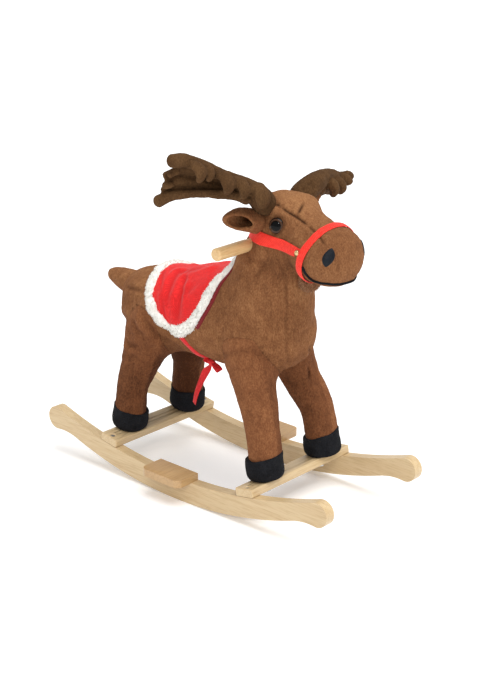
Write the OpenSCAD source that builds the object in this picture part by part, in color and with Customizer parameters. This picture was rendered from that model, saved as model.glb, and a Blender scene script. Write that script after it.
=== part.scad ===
// Ride-on plush moose on a wooden rocker frame.
// +X is forward, +Y is the animal's left, +Z is up. The origin is on the floor under the
// middle of the rockers. Millimetres.

/* [Rockers] */
// Length of each rocker board, tip to tip
rocker_len = 680; // [660:1:700]
// Width over the outer faces of the two rockers
track_w = 264; // [256:1:280]
// Thickness of a rocker board
board_t = 20; // [18:1:22]
// Height of a rocker board at mid length
rocker_h = 41; // [38:1:44]
// Radius of the rolling edge
sole_r = 822; // [800:1:860]
// Radius of the upper edge
top_r = 981; // [960:1:1020]
// Radius of the rounded tips
tip_r = 22; // [20:1:24]
// Radius of the hollow under each tip
instep_r = 110; // [80:5:140]

/* [Slats and footrests] */
// Width of a cross slat along the rocker
slat_w = 40; // [36:1:44]
// Thickness of a cross slat
slat_t = 15; // [13:1:17]
// Distance of the front slat from the middle
slat_front_x = 159; // [154:1:164]
// Distance of the rear slat from the middle
slat_rear_x = -178; // [-183:1:-173]
// Length of a footrest along its rocker
foot_len = 92; // [84:1:100]
// Width of a footrest
foot_w = 52; // [46:1:58]
// Thickness of a footrest
foot_t = 14; // [12:1:16]
// Distance of the footrest's middle from the middle of the rocker
foot_x = -14; // [-20:1:0]

/* [Inner frame] */
// Distance of a leg's foot from the centre plane
leg_y = 72; // [68:1:76]
// Distance of a leg post's top from the centre plane
post_top_y = 52; // [48:1:56]
// Diameter of a leg post
post_d = 22; // [20:1:24]
// Height of a leg post's top end
post_top_z = 304; // [300:1:308]

/* [Handle] */
// Diameter of the handle dowel
handle_d = 22; // [20:1:24]
// Length of the handle dowel
handle_len = 264; // [240:1:280]
// Height of the handle above the floor
handle_z = 472; // [468:1:476]
// Distance of the handle ahead of the middle
handle_x = 95; // [93:1:97]

/* [Head] */
// Turn of the soft head towards the animal's right, in degrees
head_turn = 8; // [4:1:10]

/* [Plush] */
// Diameter of a felt hoof
hoof_d = 68; // [64:1:72]
// Height of a felt hoof
hoof_h = 46; // [42:1:50]
// Thickness of the saddle cloth
cloth_t = 5; // [4:0.5:6]
// Height of the fur trim above the skin
trim_t = 10; // [8:0.5:12]

/* [Hidden] */
$fn = 64;
SIDES = [-1, 1];
SLAT_XS = [slat_front_x, slat_rear_x];
eps = 0.01;
sole_steps = 40;
hollow_steps = 14;
tip_steps = 26;
rail_y = track_w / 2 - board_t / 2;
inner_y = track_w / 2 - board_t;
top_c = [0, rocker_h + top_r];
tip_x = rocker_len / 2 - tip_r;
tip_c = [tip_x, top_c[1] - sqrt(pow(top_r + tip_r, 2) - tip_x * tip_x)];

// Fasteners
screw_d = 4;
screw_head_d = 8.4;
screw_head_h = 2.4;
screw_sink = 3;
screw_len = 42;
dowel_d = 8;
dowel_len = 24;
dowel_in_foot = 10;
dowel_gap = 50;
bolt_d = 6;
bolt_len = 62;
bolt_head_d = 13;
bolt_head_h = 6;
washer_d = 22;
washer_t = 2;

// Inner frame
block = [44, 132, 30];
block_z = 288;
spine_w = 60;
spine_t = 18;
spine_z = block_z + block[2];
neck_size = [32, 28];
neck_top_z = 502;
spine_screw_len = 40;
spine_screw_y = 20;
seat_d = 20;
grip_inner_y = 56;
grip_round = 4;
pin_d = 3;
pin_len = 9;
pin_y = 74;

// Stations of the stuffed shapes: x, y, z, half width, half height
TORSO = [
    [-202, 0, 299, 62, 62], [-165, 0, 302, 75, 70], [-95, 0, 307, 81, 72], [-25, 0, 310, 82, 72],
    [45, 0, 312, 84, 76], [105, 0, 318, 82, 81], [146, 0, 326, 68, 70]
];
TORSO_CAPS = [34, 36];
NECK = [
    [86, 0, 330, 72, 78], [100, 0, 385, 71, 77], [112, 0, 430, 62, 69], [130, -2, 470, 55, 59],
    [146, -3, 508, 48, 50]
];
NECK_CAPS = [20, 16];
HEAD = [
    [-28, 0, 17, 40, 40], [0, 0, 15, 50, 51], [34, 0, 3, 49, 47], [66, 0, -13, 49, 47],
    [100, 0, -24, 56, 54], [128, 0, -23, 55, 54]
];
HEAD_CAPS = [22, 42];
head_pivot = [130, 0, 500];
LEG_FRONT = [
    [94, 52, 302, 38, 46], [105, 57, 256, 36, 41], [129, 65, 205, 33, 36], [145, 70, 160, 31, 33],
    [152, 71, 114, 31, 32]
];
LEG_REAR = [
    [-130, 50, 302, 40, 48], [-140, 57, 252, 36, 41], [-155, 65, 205, 32, 34], [-166, 70, 160, 31, 32],
    [-171, 71, 114, 31, 32]
];
LEG_CAPS = [16, 6];
TAIL = [[-212, 0, 316, 26, 27], [-250, 0, 325, 22, 21], [-292, 0, 331, 15, 13]];
TAIL_CAPS = [8, 12];
BEARD = [[70, 0, -66, 14, 22], [58, 0, -88, 15, 24], [46, 0, -104, 10, 14]];
BEARD_CAPS = [8, 8];
EAR = [[106, 42, 510, 18, 10], [108, 74, 524, 22, 11], [112, 104, 534, 21, 9], [116, 132, 538, 12, 5]];
EAR_CAPS = [6, 7];
ear_cup_r = 20;
ear_cup = [124, 98, 540];

// Antlers: radius, then the height and sweep of the outer lobes, for the right and the left side
ANTLER_BASE = [136, 42, 548];
ANTLER_ELBOW = [[136, -108, 590], [126, 122, 557]];
ANTLER_HIGH = [[98, -230, 650], [88, 226, 541]];
ANTLER_LOW = [[62, -228, 584], [82, 186, 520]];
ANTLER_R = [17, 15, 9, 6];
TINE_STEPS = [0.25, 0.5, 0.75];
tine_r = 7;
tine_out = 20;

// Face
eye_d = 22;
eye_at = [34, 41, 17];
nostril_w = 15;
nostril_round = 14;
nostril_turn = 57;
nostril_rise = 11;
piping_r = 2.2;
strap_t = 1.6;
strap_w = 20;
band_w = 16;
band_at = [105, 0, -23];
band_lean = 21;
rivet_d = 9;
rivet_at = [92, 54, -10];

// Saddle outline in side view, from the rear of the ridge round the flap to the front of the ridge
SADDLE = [
    [-170, 432], [-150, 379], [-134, 352], [-124, 334], [-103, 308], [-76, 291], [-42, 284],
    [-12, 299], [9, 322], [23, 350], [36, 384], [50, 416], [62, 440], [74, 470]
];
trim_w = 21;
girth_x = -46;
girth_w = 14;
girth_t = 1.6;

// Route of the hanging ribbon, from the bow under the belly to its cut end
RIBBON = [
    [-20, -30, 228], [-22, -31, 214], [-27, -32, 196], [-33, -33, 179], [-38, -36, 163], [-41, -38, 148]
];
ribbon_w = 12;
ribbon_t = 1.4;

// ---- functions ----
function unit(v) = v / norm(v);
function first3(s) = [s[0], s[1], s[2]];
function arc_angle(x) = asin(x / top_r);
function arc_point(x, h) = [(top_r - h) * sin(arc_angle(x)), top_c[1] - (top_r - h) * cos(arc_angle(x))];
function turn_of(p, q) = atan2(q[1] - p[1], q[0] - p[0]);
// Points along an arc, without its last one
function arc(c, r, from, to, n) =
    [for (i = [0:n - 1]) let (t = from + (to - from) * i / n) c + r * [cos(t), sin(t)]];
// Where two circles meet, on the side below the line from the first to the second
function meet(p, r, q, s) =
    let (d = norm(q - p), a = (r * r - s * s + d * d) / (2 * d), h = sqrt(r * r - a * a), u = (q - p) / d)
    p + u * a + [u[1], -u[0]] * h;
function blend(a, b, c, d, t) =
    0.5 * (2 * b + (c - a) * t + (2 * a - 5 * b + 4 * c - d) * t * t + (3 * b - a - 3 * c + d) * t * t * t);
// A smooth run through the rows of S, k steps from row to row
function smooth(S, k) =
    let (n = len(S))
    [for (i = [0:n - 2]) for (j = [0:k - 1])
        blend(S[max(i - 1, 0)], S[i], S[i + 1], S[min(i + 2, n - 1)], j / k), S[n - 1]];
function along(P, i) = unit(first3(P[min(i + 1, len(P) - 1)]) - first3(P[max(i - 1, 0)]));
// One ring of n points round a station, its width along side
function ring(c, dir, side, a, b, n) =
    let (u = unit(side - (side * dir) * dir), w = cross(dir, u))
    [for (i = [0:n - 1]) c + a * cos(360 * i / n) * u + b * sin(360 * i / n) * w];
// Rings of a stuffed shape with domed ends
function rings(P, side, n, caps, grow) =
    let (m = len(P) - 1, d0 = along(P, 0), d1 = along(P, m), k = 4)
    concat(
        [for (i = [k:-1:1]) let (f = 90 * i / (k + 0.4))
            ring(first3(P[0]) - d0 * (caps[0] + grow) * sin(f), d0, side,
                (P[0][3] + grow) * cos(f), (P[0][4] + grow) * cos(f), n)],
        [for (i = [0:m]) ring(first3(P[i]), along(P, i), side, P[i][3] + grow, P[i][4] + grow, n)],
        [for (i = [1:k]) let (f = 90 * i / (k + 0.4))
            ring(first3(P[m]) + d1 * (caps[1] + grow) * sin(f), d1, side,
                (P[m][3] + grow) * cos(f), (P[m][4] + grow) * cos(f), n)]
    );
function on_side(S, s) = [for (p = S) [p[0], s * p[1], p[2], p[3], p[4]]];

// ---- shared shapes ----
// A closed skin over rings of equal length
module skin(R) {
    n = len(R[0]);
    m = len(R);
    points = [for (r = R) each r];
    walls = [for (j = [0:m - 2]) for (i = [0:n - 1])
        let (a = j * n + i, b = j * n + (i + 1) % n) each [[a, b + n, b], [a, a + n, b + n]]];
    ends = [[for (i = [0:n - 1]) i], [for (i = [n - 1:-1:0]) (m - 1) * n + i]];
    polyhedron(points, concat(walls, ends));
}
module stuffed(S, caps, side = [0, 1, 0], n = 28, k = 3, grow = 0) {
    skin(rings(smooth(S, k), side, n, caps, grow));
}
// Takes its children as one faceted shell
module soft() {
    $fn = 24;
    resize([0, 0, 0]) children();
}
module strut(p, q, d, extra = 0) {
    v = q - p;
    translate(p - unit(v) * extra) rotate([0, acos(v[2] / norm(v)), atan2(v[1], v[0])])
        rotate([0, 0, 25]) cylinder(d = d, h = norm(v) + extra);
}
module bar(p, q, r, s) {
    hull() {
        translate(p) sphere(r, $fn = 16);
        translate(q) sphere(s, $fn = 16);
    }
}
// Places its children on the rockers' upper edge at x, with Z square to the edge
module on_edge(x) {
    translate([0, 0, top_c[1]]) rotate([0, -arc_angle(x), 0]) translate([0, 0, -top_r]) children();
}
module at_slats() {
    for (x = SLAT_XS) on_edge(x) for (s = SIDES) scale_y(s) children();
}
module scale_y(s) {
    if (s > 0) children();
    else mirror([0, 1, 0]) children();
}
module scale_z(s) {
    if (s > 0) children();
    else mirror([0, 0, 1]) children();
}
module in_head() {
    translate(head_pivot) rotate([0, 0, -head_turn]) children();
}

// ---- wooden rocker frame ----
module rocker_outline() {
    hollow_c = meet([0, sole_r], sole_r + instep_r, tip_c, tip_r + instep_r);
    sole_end = turn_of([0, sole_r], hollow_c);
    hollow_end = turn_of(hollow_c, tip_c);
    tip_end = turn_of(tip_c, top_c);
    half = concat(
        arc([0, sole_r], sole_r, -90, sole_end, sole_steps),
        arc(hollow_c, instep_r, sole_end + 180, hollow_end, hollow_steps),
        arc(tip_c, tip_r, hollow_end - 180, tip_end, tip_steps),
        arc(top_c, top_r, tip_end - 180, -90, sole_steps)
    );
    other = [for (i = [len(half) - 1:-1:1]) [-half[i][0], half[i][1]]];
    polygon(concat(half, [[0, rocker_h]], other));
}
module slat_blank(x) {
    on_edge(x) translate([-slat_w / 2, -track_w / 2, 0]) cube([slat_w, track_w, slat_t]);
}
module footrest_blank(s) {
    corner = 13;
    y0 = inner_y + 1;
    on_edge(foot_x) scale_y(s) linear_extrude(foot_t) {
        translate([-foot_len / 2, y0]) square([foot_len, foot_w - corner]);
        translate([corner - foot_len / 2, y0]) square([foot_len - 2 * corner, foot_w]);
        for (t = SIDES) translate([t * (foot_len / 2 - corner), y0 + foot_w - corner]) circle(corner);
    }
}
module slat_screw_shapes() {
    slot_l = 5.6;
    for (x = SLAT_XS) on_edge(x) for (s = SIDES) translate([0, s * rail_y, slat_t - screw_sink]) {
        difference() {
            translate([0, 0, -screw_head_h / 2]) cylinder(d = screw_head_d, h = screw_head_h);
            for (a = [0, 90]) rotate([0, 0, a])
                translate([-slot_l / 2, -0.6, screw_head_h / 2 - 1]) cube([slot_l, 1.2, 2]);
        }
        translate([0, 0, -screw_len]) cylinder(d = screw_d, h = screw_len);
    }
}
module slat_screw_bores() {
    for (x = SLAT_XS) on_edge(x) for (s = SIDES) translate([0, s * rail_y, slat_t - screw_sink]) {
        translate([0, 0, -screw_head_h / 2]) cylinder(d = screw_head_d, h = 2 * screw_sink);
        translate([0, 0, -screw_len]) cylinder(d = screw_d, h = screw_len);
    }
}
module footrest_dowel_shapes() {
    on_edge(foot_x) for (s = SIDES) for (t = SIDES)
        translate([t * dowel_gap / 2, s * (rail_y + 1), dowel_in_foot - dowel_len])
            cylinder(d = dowel_d, h = dowel_len);
}
module rocker(s) {
    difference() {
        translate([0, s * rail_y, 0]) rotate([90, 0, 0])
            linear_extrude(board_t, center = true) rocker_outline();
        for (x = SLAT_XS) slat_blank(x);
        footrest_blank(s);
        slat_screw_bores();
        footrest_dowel_shapes();
    }
}
module slat(x) {
    difference() {
        slat_blank(x);
        slat_screw_bores();
        leg_bolt_bores();
    }
}
module footrest(s) {
    difference() {
        footrest_blank(s);
        footrest_dowel_shapes();
    }
}
module rocker_right() { color("burlywood") rocker(-1); }
module rocker_left() { color("burlywood") rocker(1); }
module slat_front() { color("burlywood") slat(slat_front_x); }
module slat_rear() { color("burlywood") slat(slat_rear_x); }
module footrest_right() { color("burlywood") footrest(-1); }
module footrest_left() { color("burlywood") footrest(1); }
module slat_screws() { color("silver") slat_screw_shapes(); }
module footrest_dowels() { color("wheat") footrest_dowel_shapes(); }
// ---- leg posts and inner frame ----
function post_foot(x, s) = let (p = arc_point(x, slat_t)) [p[0], s * leg_y, p[1]];
function post_head(x, s) =
    let (p = arc_point(x, slat_t), run = (post_top_z - p[1]) * tan(arc_angle(x)))
    [p[0] - run, s * post_top_y, post_top_z];
module post_shape(x, s) { strut(post_foot(x, s), post_head(x, s), post_d, 8); }
module leg_bolt_bores() {
    at_slats() translate([0, leg_y, -eps]) cylinder(d = bolt_d, h = bolt_len);
}
module leg_post(x, s) {
    color("wheat") difference() {
        post_shape(x, s);
        on_edge(x) translate([-slat_w, -track_w / 2, -slat_t]) cube([2 * slat_w, track_w, 2 * slat_t]);
        leg_bolt_bores();
    }
}
module leg_bolts() {
    color("silver") at_slats() translate([0, leg_y, 0]) {
        cylinder(d = bolt_d, h = bolt_len - 2);
        translate([0, 0, -washer_t - bolt_head_h]) difference() {
            cylinder(d = bolt_head_d, h = bolt_head_h, $fn = 6);
            translate([0, 0, -1]) cylinder(d = bolt_d, h = 1.5);
        }
        translate([0, 0, -washer_t - eps]) cylinder(d = bolt_d, h = washer_t + 2 * eps);
    }
}
module leg_washers() {
    color("silver") at_slats() translate([0, leg_y, -washer_t]) difference() {
        cylinder(d = washer_d, h = washer_t);
        translate([0, 0, -1]) cylinder(d = bolt_d, h = washer_t + 2);
    }
}
module leg_post_front_right() { leg_post(slat_front_x, -1); }
module leg_post_front_left() { leg_post(slat_front_x, 1); }
module leg_post_rear_right() { leg_post(slat_rear_x, -1); }
module leg_post_rear_left() { leg_post(slat_rear_x, 1); }
function block_x(x) = post_head(x, 1)[0];
module cross_block(x) {
    color("tan") difference() {
        translate([block_x(x) - block[0] / 2, -block[1] / 2, block_z]) cube(block);
        for (s = SIDES) post_shape(x, s);
        spine_screw_shapes();
    }
}
module cross_block_front() { cross_block(slat_front_x); }
module cross_block_rear() { cross_block(slat_rear_x); }
module spine_screw_shapes() {
    for (x = SLAT_XS) for (s = SIDES)
        translate([block_x(x), s * spine_screw_y, spine_z + spine_t - spine_screw_len]) {
            cylinder(d = screw_d, h = spine_screw_len);
            translate([0, 0, spine_screw_len - screw_head_h]) cylinder(d = screw_head_d, h = screw_head_h);
        }
}
module neck_screw_shapes() {
    for (s = SIDES) translate([handle_x - 9, s * 7, spine_z]) {
        cylinder(d = screw_d, h = spine_t + 24);
        cylinder(d = screw_head_d, h = screw_head_h);
    }
}
module spine_board() {
    x0 = block_x(slat_rear_x) - block[0] / 2;
    x1 = block_x(slat_front_x) + block[0] / 2;
    color("tan") difference() {
        translate([x0, -spine_w / 2, spine_z]) cube([x1 - x0, spine_w, spine_t]);
        spine_screw_shapes();
        neck_screw_shapes();
    }
}
module spine_screws() { color("silver") spine_screw_shapes(); }
module neck_screws() { color("silver") neck_screw_shapes(); }
module neck_blank() {
    z0 = spine_z + spine_t;
    translate([handle_x - neck_size[0] / 2, -neck_size[1] / 2, z0])
        cube([neck_size[0], neck_size[1], neck_top_z - z0]);
}
module handle_blank(d = handle_d) {
    translate([handle_x, 0, handle_z]) rotate([90, 0, 0]) cylinder(d = d, h = handle_len, center = true);
}
module neck_post() {
    color("tan") difference() {
        neck_blank();
        handle_blank(seat_d);
        neck_screw_shapes();
    }
}
module handle_pin_bores() {
    for (s = SIDES) translate([handle_x, s * pin_y, handle_z]) rotate([0, -30, 0])
        translate([0, 0, handle_d / 2 - pin_len]) cylinder(d = pin_d, h = 2 * pin_len);
}
// Two grips with rounded ends, and a thinner seat between them
module handle_bar() {
    end = handle_len / 2;
    color("burlywood") difference() {
        translate([handle_x, 0, handle_z]) rotate([90, 0, 0]) union() {
            cylinder(d = seat_d, h = 2 * grip_inner_y, center = true);
            for (s = SIDES) scale_z(s) {
                translate([0, 0, grip_inner_y]) cylinder(d = handle_d, h = end - grip_inner_y - grip_round);
                translate([0, 0, end - grip_round]) rotate_extrude() intersection() {
                    union() {
                        square([handle_d / 2 - grip_round, grip_round]);
                        translate([handle_d / 2 - grip_round, 0]) circle(grip_round);
                    }
                    square(handle_d);
                }
            }
        }
        handle_pin_bores();
    }
}
module handle_pins() {
    color("silver") intersection() {
        handle_pin_bores();
        handle_blank();
    }
}

// ---- stuffed animal ----
module wood_inside() {
    for (x = SLAT_XS) {
        for (s = SIDES) post_shape(x, s);
        translate([block_x(x) - block[0] / 2, -block[1] / 2, block_z]) cube(block);
    }
    translate([block_x(slat_rear_x), -spine_w / 2, spine_z])
        cube([block_x(slat_front_x) - block_x(slat_rear_x) + block[0] / 2, spine_w, spine_t]);
    neck_blank();
}
module torso_shape(grow = 0) { stuffed(TORSO, TORSO_CAPS, grow = grow, n = 32); }
module neck_shape(grow = 0) { stuffed(NECK, NECK_CAPS, grow = grow); }
module head_shape(grow = 0) { in_head() stuffed(HEAD, HEAD_CAPS, grow = grow); }
module hoof_blank(x, s) {
    bottom_r = 12;
    top_r2 = 9;
    r = hoof_d / 2;
    on_edge(x) translate([0, s * leg_y, slat_t]) rotate_extrude() {
        square([r - bottom_r, hoof_h]);
        translate([0, bottom_r]) square([r, hoof_h - bottom_r - top_r2]);
        translate([r - bottom_r, bottom_r]) circle(bottom_r);
        translate([r - top_r2, hoof_h - top_r2]) circle(top_r2);
        square([r - top_r2, hoof_h]);
    }
}
module torso_plush() {
    color("saddlebrown") soft() difference() {
        torso_shape();
        wood_inside();
    }
}
module neck_plush() {
    color("saddlebrown") soft() difference() {
        neck_shape();
        torso_shape();
        head_shape();
        wood_inside();
        handle_blank();
    }
}
module head_plush() {
    color("saddlebrown") soft() difference() {
        head_shape();
        wood_inside();
        handle_blank();
    }
}
module leg(S, x, s) {
    color("sienna") soft() difference() {
        stuffed(on_side(S, s), LEG_CAPS, side = [0, 1, 0], n = 24, k = 2);
        torso_shape();
        neck_shape();
        on_edge(x) translate([-hoof_d, -track_w / 2, 0]) cube([2 * hoof_d, track_w, slat_t + hoof_h]);
        post_shape(x, s);
        wood_inside();
    }
}
module leg_front_right() { leg(LEG_FRONT, slat_front_x, -1); }
module leg_front_left() { leg(LEG_FRONT, slat_front_x, 1); }
module leg_rear_right() { leg(LEG_REAR, slat_rear_x, -1); }
module leg_rear_left() { leg(LEG_REAR, slat_rear_x, 1); }
module hoof(x, s) {
    color("#222222") difference() {
        hoof_blank(x, s);
        post_shape(x, s);
    }
}
module hoof_front_right() { hoof(slat_front_x, -1); }
module hoof_front_left() { hoof(slat_front_x, 1); }
module hoof_rear_right() { hoof(slat_rear_x, -1); }
module hoof_rear_left() { hoof(slat_rear_x, 1); }
module tail() {
    color("saddlebrown") soft() difference() {
        stuffed(TAIL, TAIL_CAPS, n = 20);
        torso_shape();
    }
}
module ear(s) {
    color("sienna") soft() difference() {
        stuffed(on_side(EAR, s), EAR_CAPS, side = [1, 0, -0.5], n = 16, k = 2);
        translate([ear_cup[0], s * ear_cup[1], ear_cup[2]]) sphere(ear_cup_r);
        head_shape();
        neck_shape();
    }
}
module ear_right() { ear(-1); }
module ear_left() { ear(1); }
// A floppy palm between two lobes, with short tines on its front edge
module antler(i) {
    base = [ANTLER_BASE[0], SIDES[i] * ANTLER_BASE[1], ANTLER_BASE[2]];
    elbow = ANTLER_ELBOW[i];
    high = ANTLER_HIGH[i];
    low = ANTLER_LOW[i];
    color("#5a4632") soft() difference() {
        union() {
            bar(base, elbow, ANTLER_R[0], ANTLER_R[1]);
            bar(elbow, high, ANTLER_R[1], ANTLER_R[2]);
            bar(elbow, low, ANTLER_R[1], ANTLER_R[2]);
            hull() for (p = [elbow, high, low]) translate(p) sphere(ANTLER_R[3], $fn = 14);
            for (t = TINE_STEPS) {
                p = elbow + (high - elbow) * t;
                bar(p, p + [tine_out, 0, -tine_out / 3], tine_r, tine_r / 2);
            }
        }
        head_shape();
    }
}
module antler_right() { antler(0); }
module antler_left() { antler(1); }

// ---- face ----
module eye(s) {
    color("black") soft() difference() {
        in_head() translate([eye_at[0], s * eye_at[1], eye_at[2]]) sphere(d = eye_d);
        head_shape();
    }
}
module eye_right() { eye(-1); }
module eye_left() { eye(1); }
module nostril(s) {
    tip = HEAD[len(HEAD) - 1];
    color("black") soft() intersection() {
        difference() {
            head_shape(2);
            head_shape();
        }
        in_head() translate([tip[0], 0, tip[2] + nostril_rise]) rotate([0, 0, s * nostril_turn])
            rotate([0, 90, 0]) linear_extrude(80) intersection_for(t = SIDES)
                translate([0, t * nostril_w / 2]) circle(nostril_round);
    }
}
module nostril_right() { nostril(-1); }
module nostril_left() { nostril(1); }
// The piped seam under the muzzle
module mouth_piping() {
    tip = HEAD[len(HEAD) - 1];
    color("black") soft() intersection() {
        difference() {
            head_shape(piping_r);
            head_shape(-1);
        }
        in_head() translate([tip[0] - 42, -80, tip[2] - 50]) rotate([0, 12, 0]) cube([120, 160, 4]);
    }
}
module beard() {
    color("peru") soft() difference() {
        in_head() stuffed(BEARD, BEARD_CAPS, n = 16);
        head_shape();
        neck_shape();
        torso_shape();
    }
}

// ---- bridle ----
module noseband_slab() {
    in_head() translate(band_at) rotate([0, band_lean, 0]) cube([band_w, 160, 160], center = true);
}
module noseband() {
    color("red") soft() intersection() {
        difference() {
            head_shape(strap_t);
            head_shape();
        }
        noseband_slab();
    }
}
// One strap from rivet to rivet round the back of the neck
module headstall() {
    color("red") soft() intersection() {
        difference() {
            union() {
                head_shape(strap_t);
                neck_shape(strap_t);
            }
            head_shape();
            neck_shape();
            in_head() translate(band_at) rotate([0, band_lean, 0])
                translate([-band_w / 2, -90, -90]) cube(180);
        }
        in_head() translate([-92, -80, -19]) rotate([0, 8, 0]) cube([192, 160, strap_w]);
    }
}
module bridle_rivets() {
    color("gold") soft() difference() {
        in_head() for (s = SIDES) translate([rivet_at[0], s * rivet_at[1], rivet_at[2]])
            rotate([90, 0, 0]) cylinder(d = rivet_d, h = 10, center = true);
        head_shape(strap_t);
    }
}

// ---- saddle and girth ----
module saddle_outline() { polygon(smooth(SADDLE, 3)); }
module saddle_prism(inset = 0) {
    rotate([90, 0, 0]) linear_extrude(400, center = true) offset(delta = -inset) saddle_outline();
}
module back_shell(outer, inner = 0) {
    difference() {
        union() {
            torso_shape(outer);
            neck_shape(outer);
        }
        torso_shape(inner);
        neck_shape(inner);
        handle_blank(handle_d + 1);
        translate([-400, -200, 0]) cube([800, 400, 270]);
    }
}
module saddle_cloth() {
    color("crimson") soft() intersection() {
        back_shell(cloth_t);
        saddle_prism(trim_w - 2);
    }
}
module saddle_trim() {
    color("whitesmoke") soft() intersection() {
        back_shell(trim_t);
        difference() {
            saddle_prism();
            saddle_prism(trim_w - 2);
        }
    }
}
module girth_strap() {
    color("red") soft() difference() {
        intersection() {
            torso_shape(girth_t);
            translate([girth_x - girth_w / 2, -150, 200]) cube([girth_w, 300, 110]);
        }
        torso_shape();
        saddle_prism();
    }
}
module girth_bow() {
    color("red") soft() difference() {
        union() {
            translate([-22, -30, 231]) scale([1, 0.9, 0.7]) sphere(9);
            bar([-22, -30, 229], [4, -38, 223], 5, 4);
        }
        torso_shape(girth_t);
    }
}
module tie_ribbon() {
    P = smooth(RIBBON, 2);
    flat = [1, 0, 0.2];
    color("red") skin([for (i = [0:len(P) - 1])
        let (d = along(P, i), u = unit(flat - (flat * d) * d), w = cross(d, u))
        [for (c = [[1, 1], [-1, 1], [-1, -1], [1, -1]])
            P[i] + u * c[0] * ribbon_w / 2 + w * c[1] * ribbon_t / 2]]);
}

rocker_right();
rocker_left();
slat_front();
slat_rear();
footrest_right();
footrest_left();
slat_screws();
footrest_dowels();
leg_bolts();
leg_washers();
leg_post_front_right();
leg_post_front_left();
leg_post_rear_right();
leg_post_rear_left();
cross_block_front();
cross_block_rear();
spine_board();
spine_screws();
neck_post();
neck_screws();
handle_bar();
handle_pins();
torso_plush();
neck_plush();
head_plush();
leg_front_right();
leg_front_left();
leg_rear_right();
leg_rear_left();
hoof_front_right();
hoof_front_left();
hoof_rear_right();
hoof_rear_left();
tail();
ear_right();
ear_left();
antler_right();
antler_left();
eye_right();
eye_left();
nostril_right();
nostril_left();
mouth_piping();
beard();
noseband();
headstall();
bridle_rivets();
saddle_cloth();
saddle_trim();
girth_strap();
girth_bow();
tie_ribbon();
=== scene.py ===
# Plush moose on wooden rockers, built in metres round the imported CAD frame.
# The code reckons in millimetres, and MM turns them into metres.
import itertools
import math

import bmesh
import bpy
import numpy as np
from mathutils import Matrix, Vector
from mathutils.bvhtree import BVHTree


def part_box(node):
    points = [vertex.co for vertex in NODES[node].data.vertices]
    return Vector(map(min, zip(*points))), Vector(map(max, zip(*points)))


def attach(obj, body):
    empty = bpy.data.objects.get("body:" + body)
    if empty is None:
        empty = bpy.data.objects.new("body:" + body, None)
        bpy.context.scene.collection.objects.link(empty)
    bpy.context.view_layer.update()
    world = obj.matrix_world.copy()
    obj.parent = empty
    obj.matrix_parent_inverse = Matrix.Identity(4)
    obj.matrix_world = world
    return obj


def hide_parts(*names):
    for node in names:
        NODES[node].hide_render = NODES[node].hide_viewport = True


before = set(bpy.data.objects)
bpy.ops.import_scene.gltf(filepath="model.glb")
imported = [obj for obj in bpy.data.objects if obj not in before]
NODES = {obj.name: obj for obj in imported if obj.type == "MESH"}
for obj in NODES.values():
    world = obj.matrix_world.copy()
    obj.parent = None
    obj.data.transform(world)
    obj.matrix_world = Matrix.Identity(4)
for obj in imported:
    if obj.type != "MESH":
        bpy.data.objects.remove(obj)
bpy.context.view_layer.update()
MM = 0.001

# ---- camera, lights and floor ----
CAM_AZ, CAM_EL = 41.8, 19.9
CAM_AT = (1822.74, -1978.01, 1222.22)
CAM_LENS = 82.4
FLOOR_SIZE = 24.0
SKY_STRENGTH = 0.62
SUN_FROM, SUN_SPREAD, SUN_STRENGTH = (0.36, 0.04, 0.95), 50.0, 2.5
FRONT_AT, FRONT_AIM, FRONT_SIZE, FRONT_POWER = (1.4, -2.2, 1.7), (0.0, 0.0, 0.3), 0.28, 14.0


def added(name, data, toward=None, at=(0, 0, 0)):
    """A new object; a camera or a lamp looks along toward."""
    o = bpy.data.objects.new(name, data)
    bpy.context.scene.collection.objects.link(o)
    if toward is not None:
        o.rotation_mode = "QUATERNION"
        o.rotation_quaternion = Vector(toward).to_track_quat("-Z", "Y")
        o.location = at
    return o


def make_camera():
    data = bpy.data.cameras.new("camera")
    data.lens, data.sensor_width, data.sensor_fit = CAM_LENS, 36.0, "AUTO"
    a, e = math.radians(CAM_AZ), math.radians(CAM_EL)
    back = Vector((math.sin(a) * math.cos(e), -math.cos(a) * math.cos(e), math.sin(e)))
    bpy.context.scene.camera = added("camera", data, -back, Vector(CAM_AT) * MM)


def make_stage():
    world = bpy.data.worlds.new("studio")
    bpy.context.scene.world = world
    world.use_nodes = True
    sky = world.node_tree.nodes["Background"].inputs
    sky[0].default_value, sky[1].default_value = (1.0, 1.0, 1.0, 1.0), SKY_STRENGTH
    sun = bpy.data.lights.new("overhead", "SUN")
    sun.angle, sun.energy = math.radians(SUN_SPREAD), SUN_STRENGTH
    added("overhead", sun, -Vector(SUN_FROM))
    lamp = bpy.data.lights.new("front", "AREA")
    lamp.shape, lamp.size, lamp.energy = "DISK", FRONT_SIZE, FRONT_POWER
    added("front", lamp, Vector(FRONT_AIM) - Vector(FRONT_AT), FRONT_AT)
    bpy.ops.mesh.primitive_plane_add(size=FLOOR_SIZE, location=(0, 0, 0))
    floor = bpy.context.object
    floor.name = "floor"
    floor.data.materials.append(MATS["floor"])
    bpy.context.scene.view_settings.view_transform = "Standard"


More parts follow.
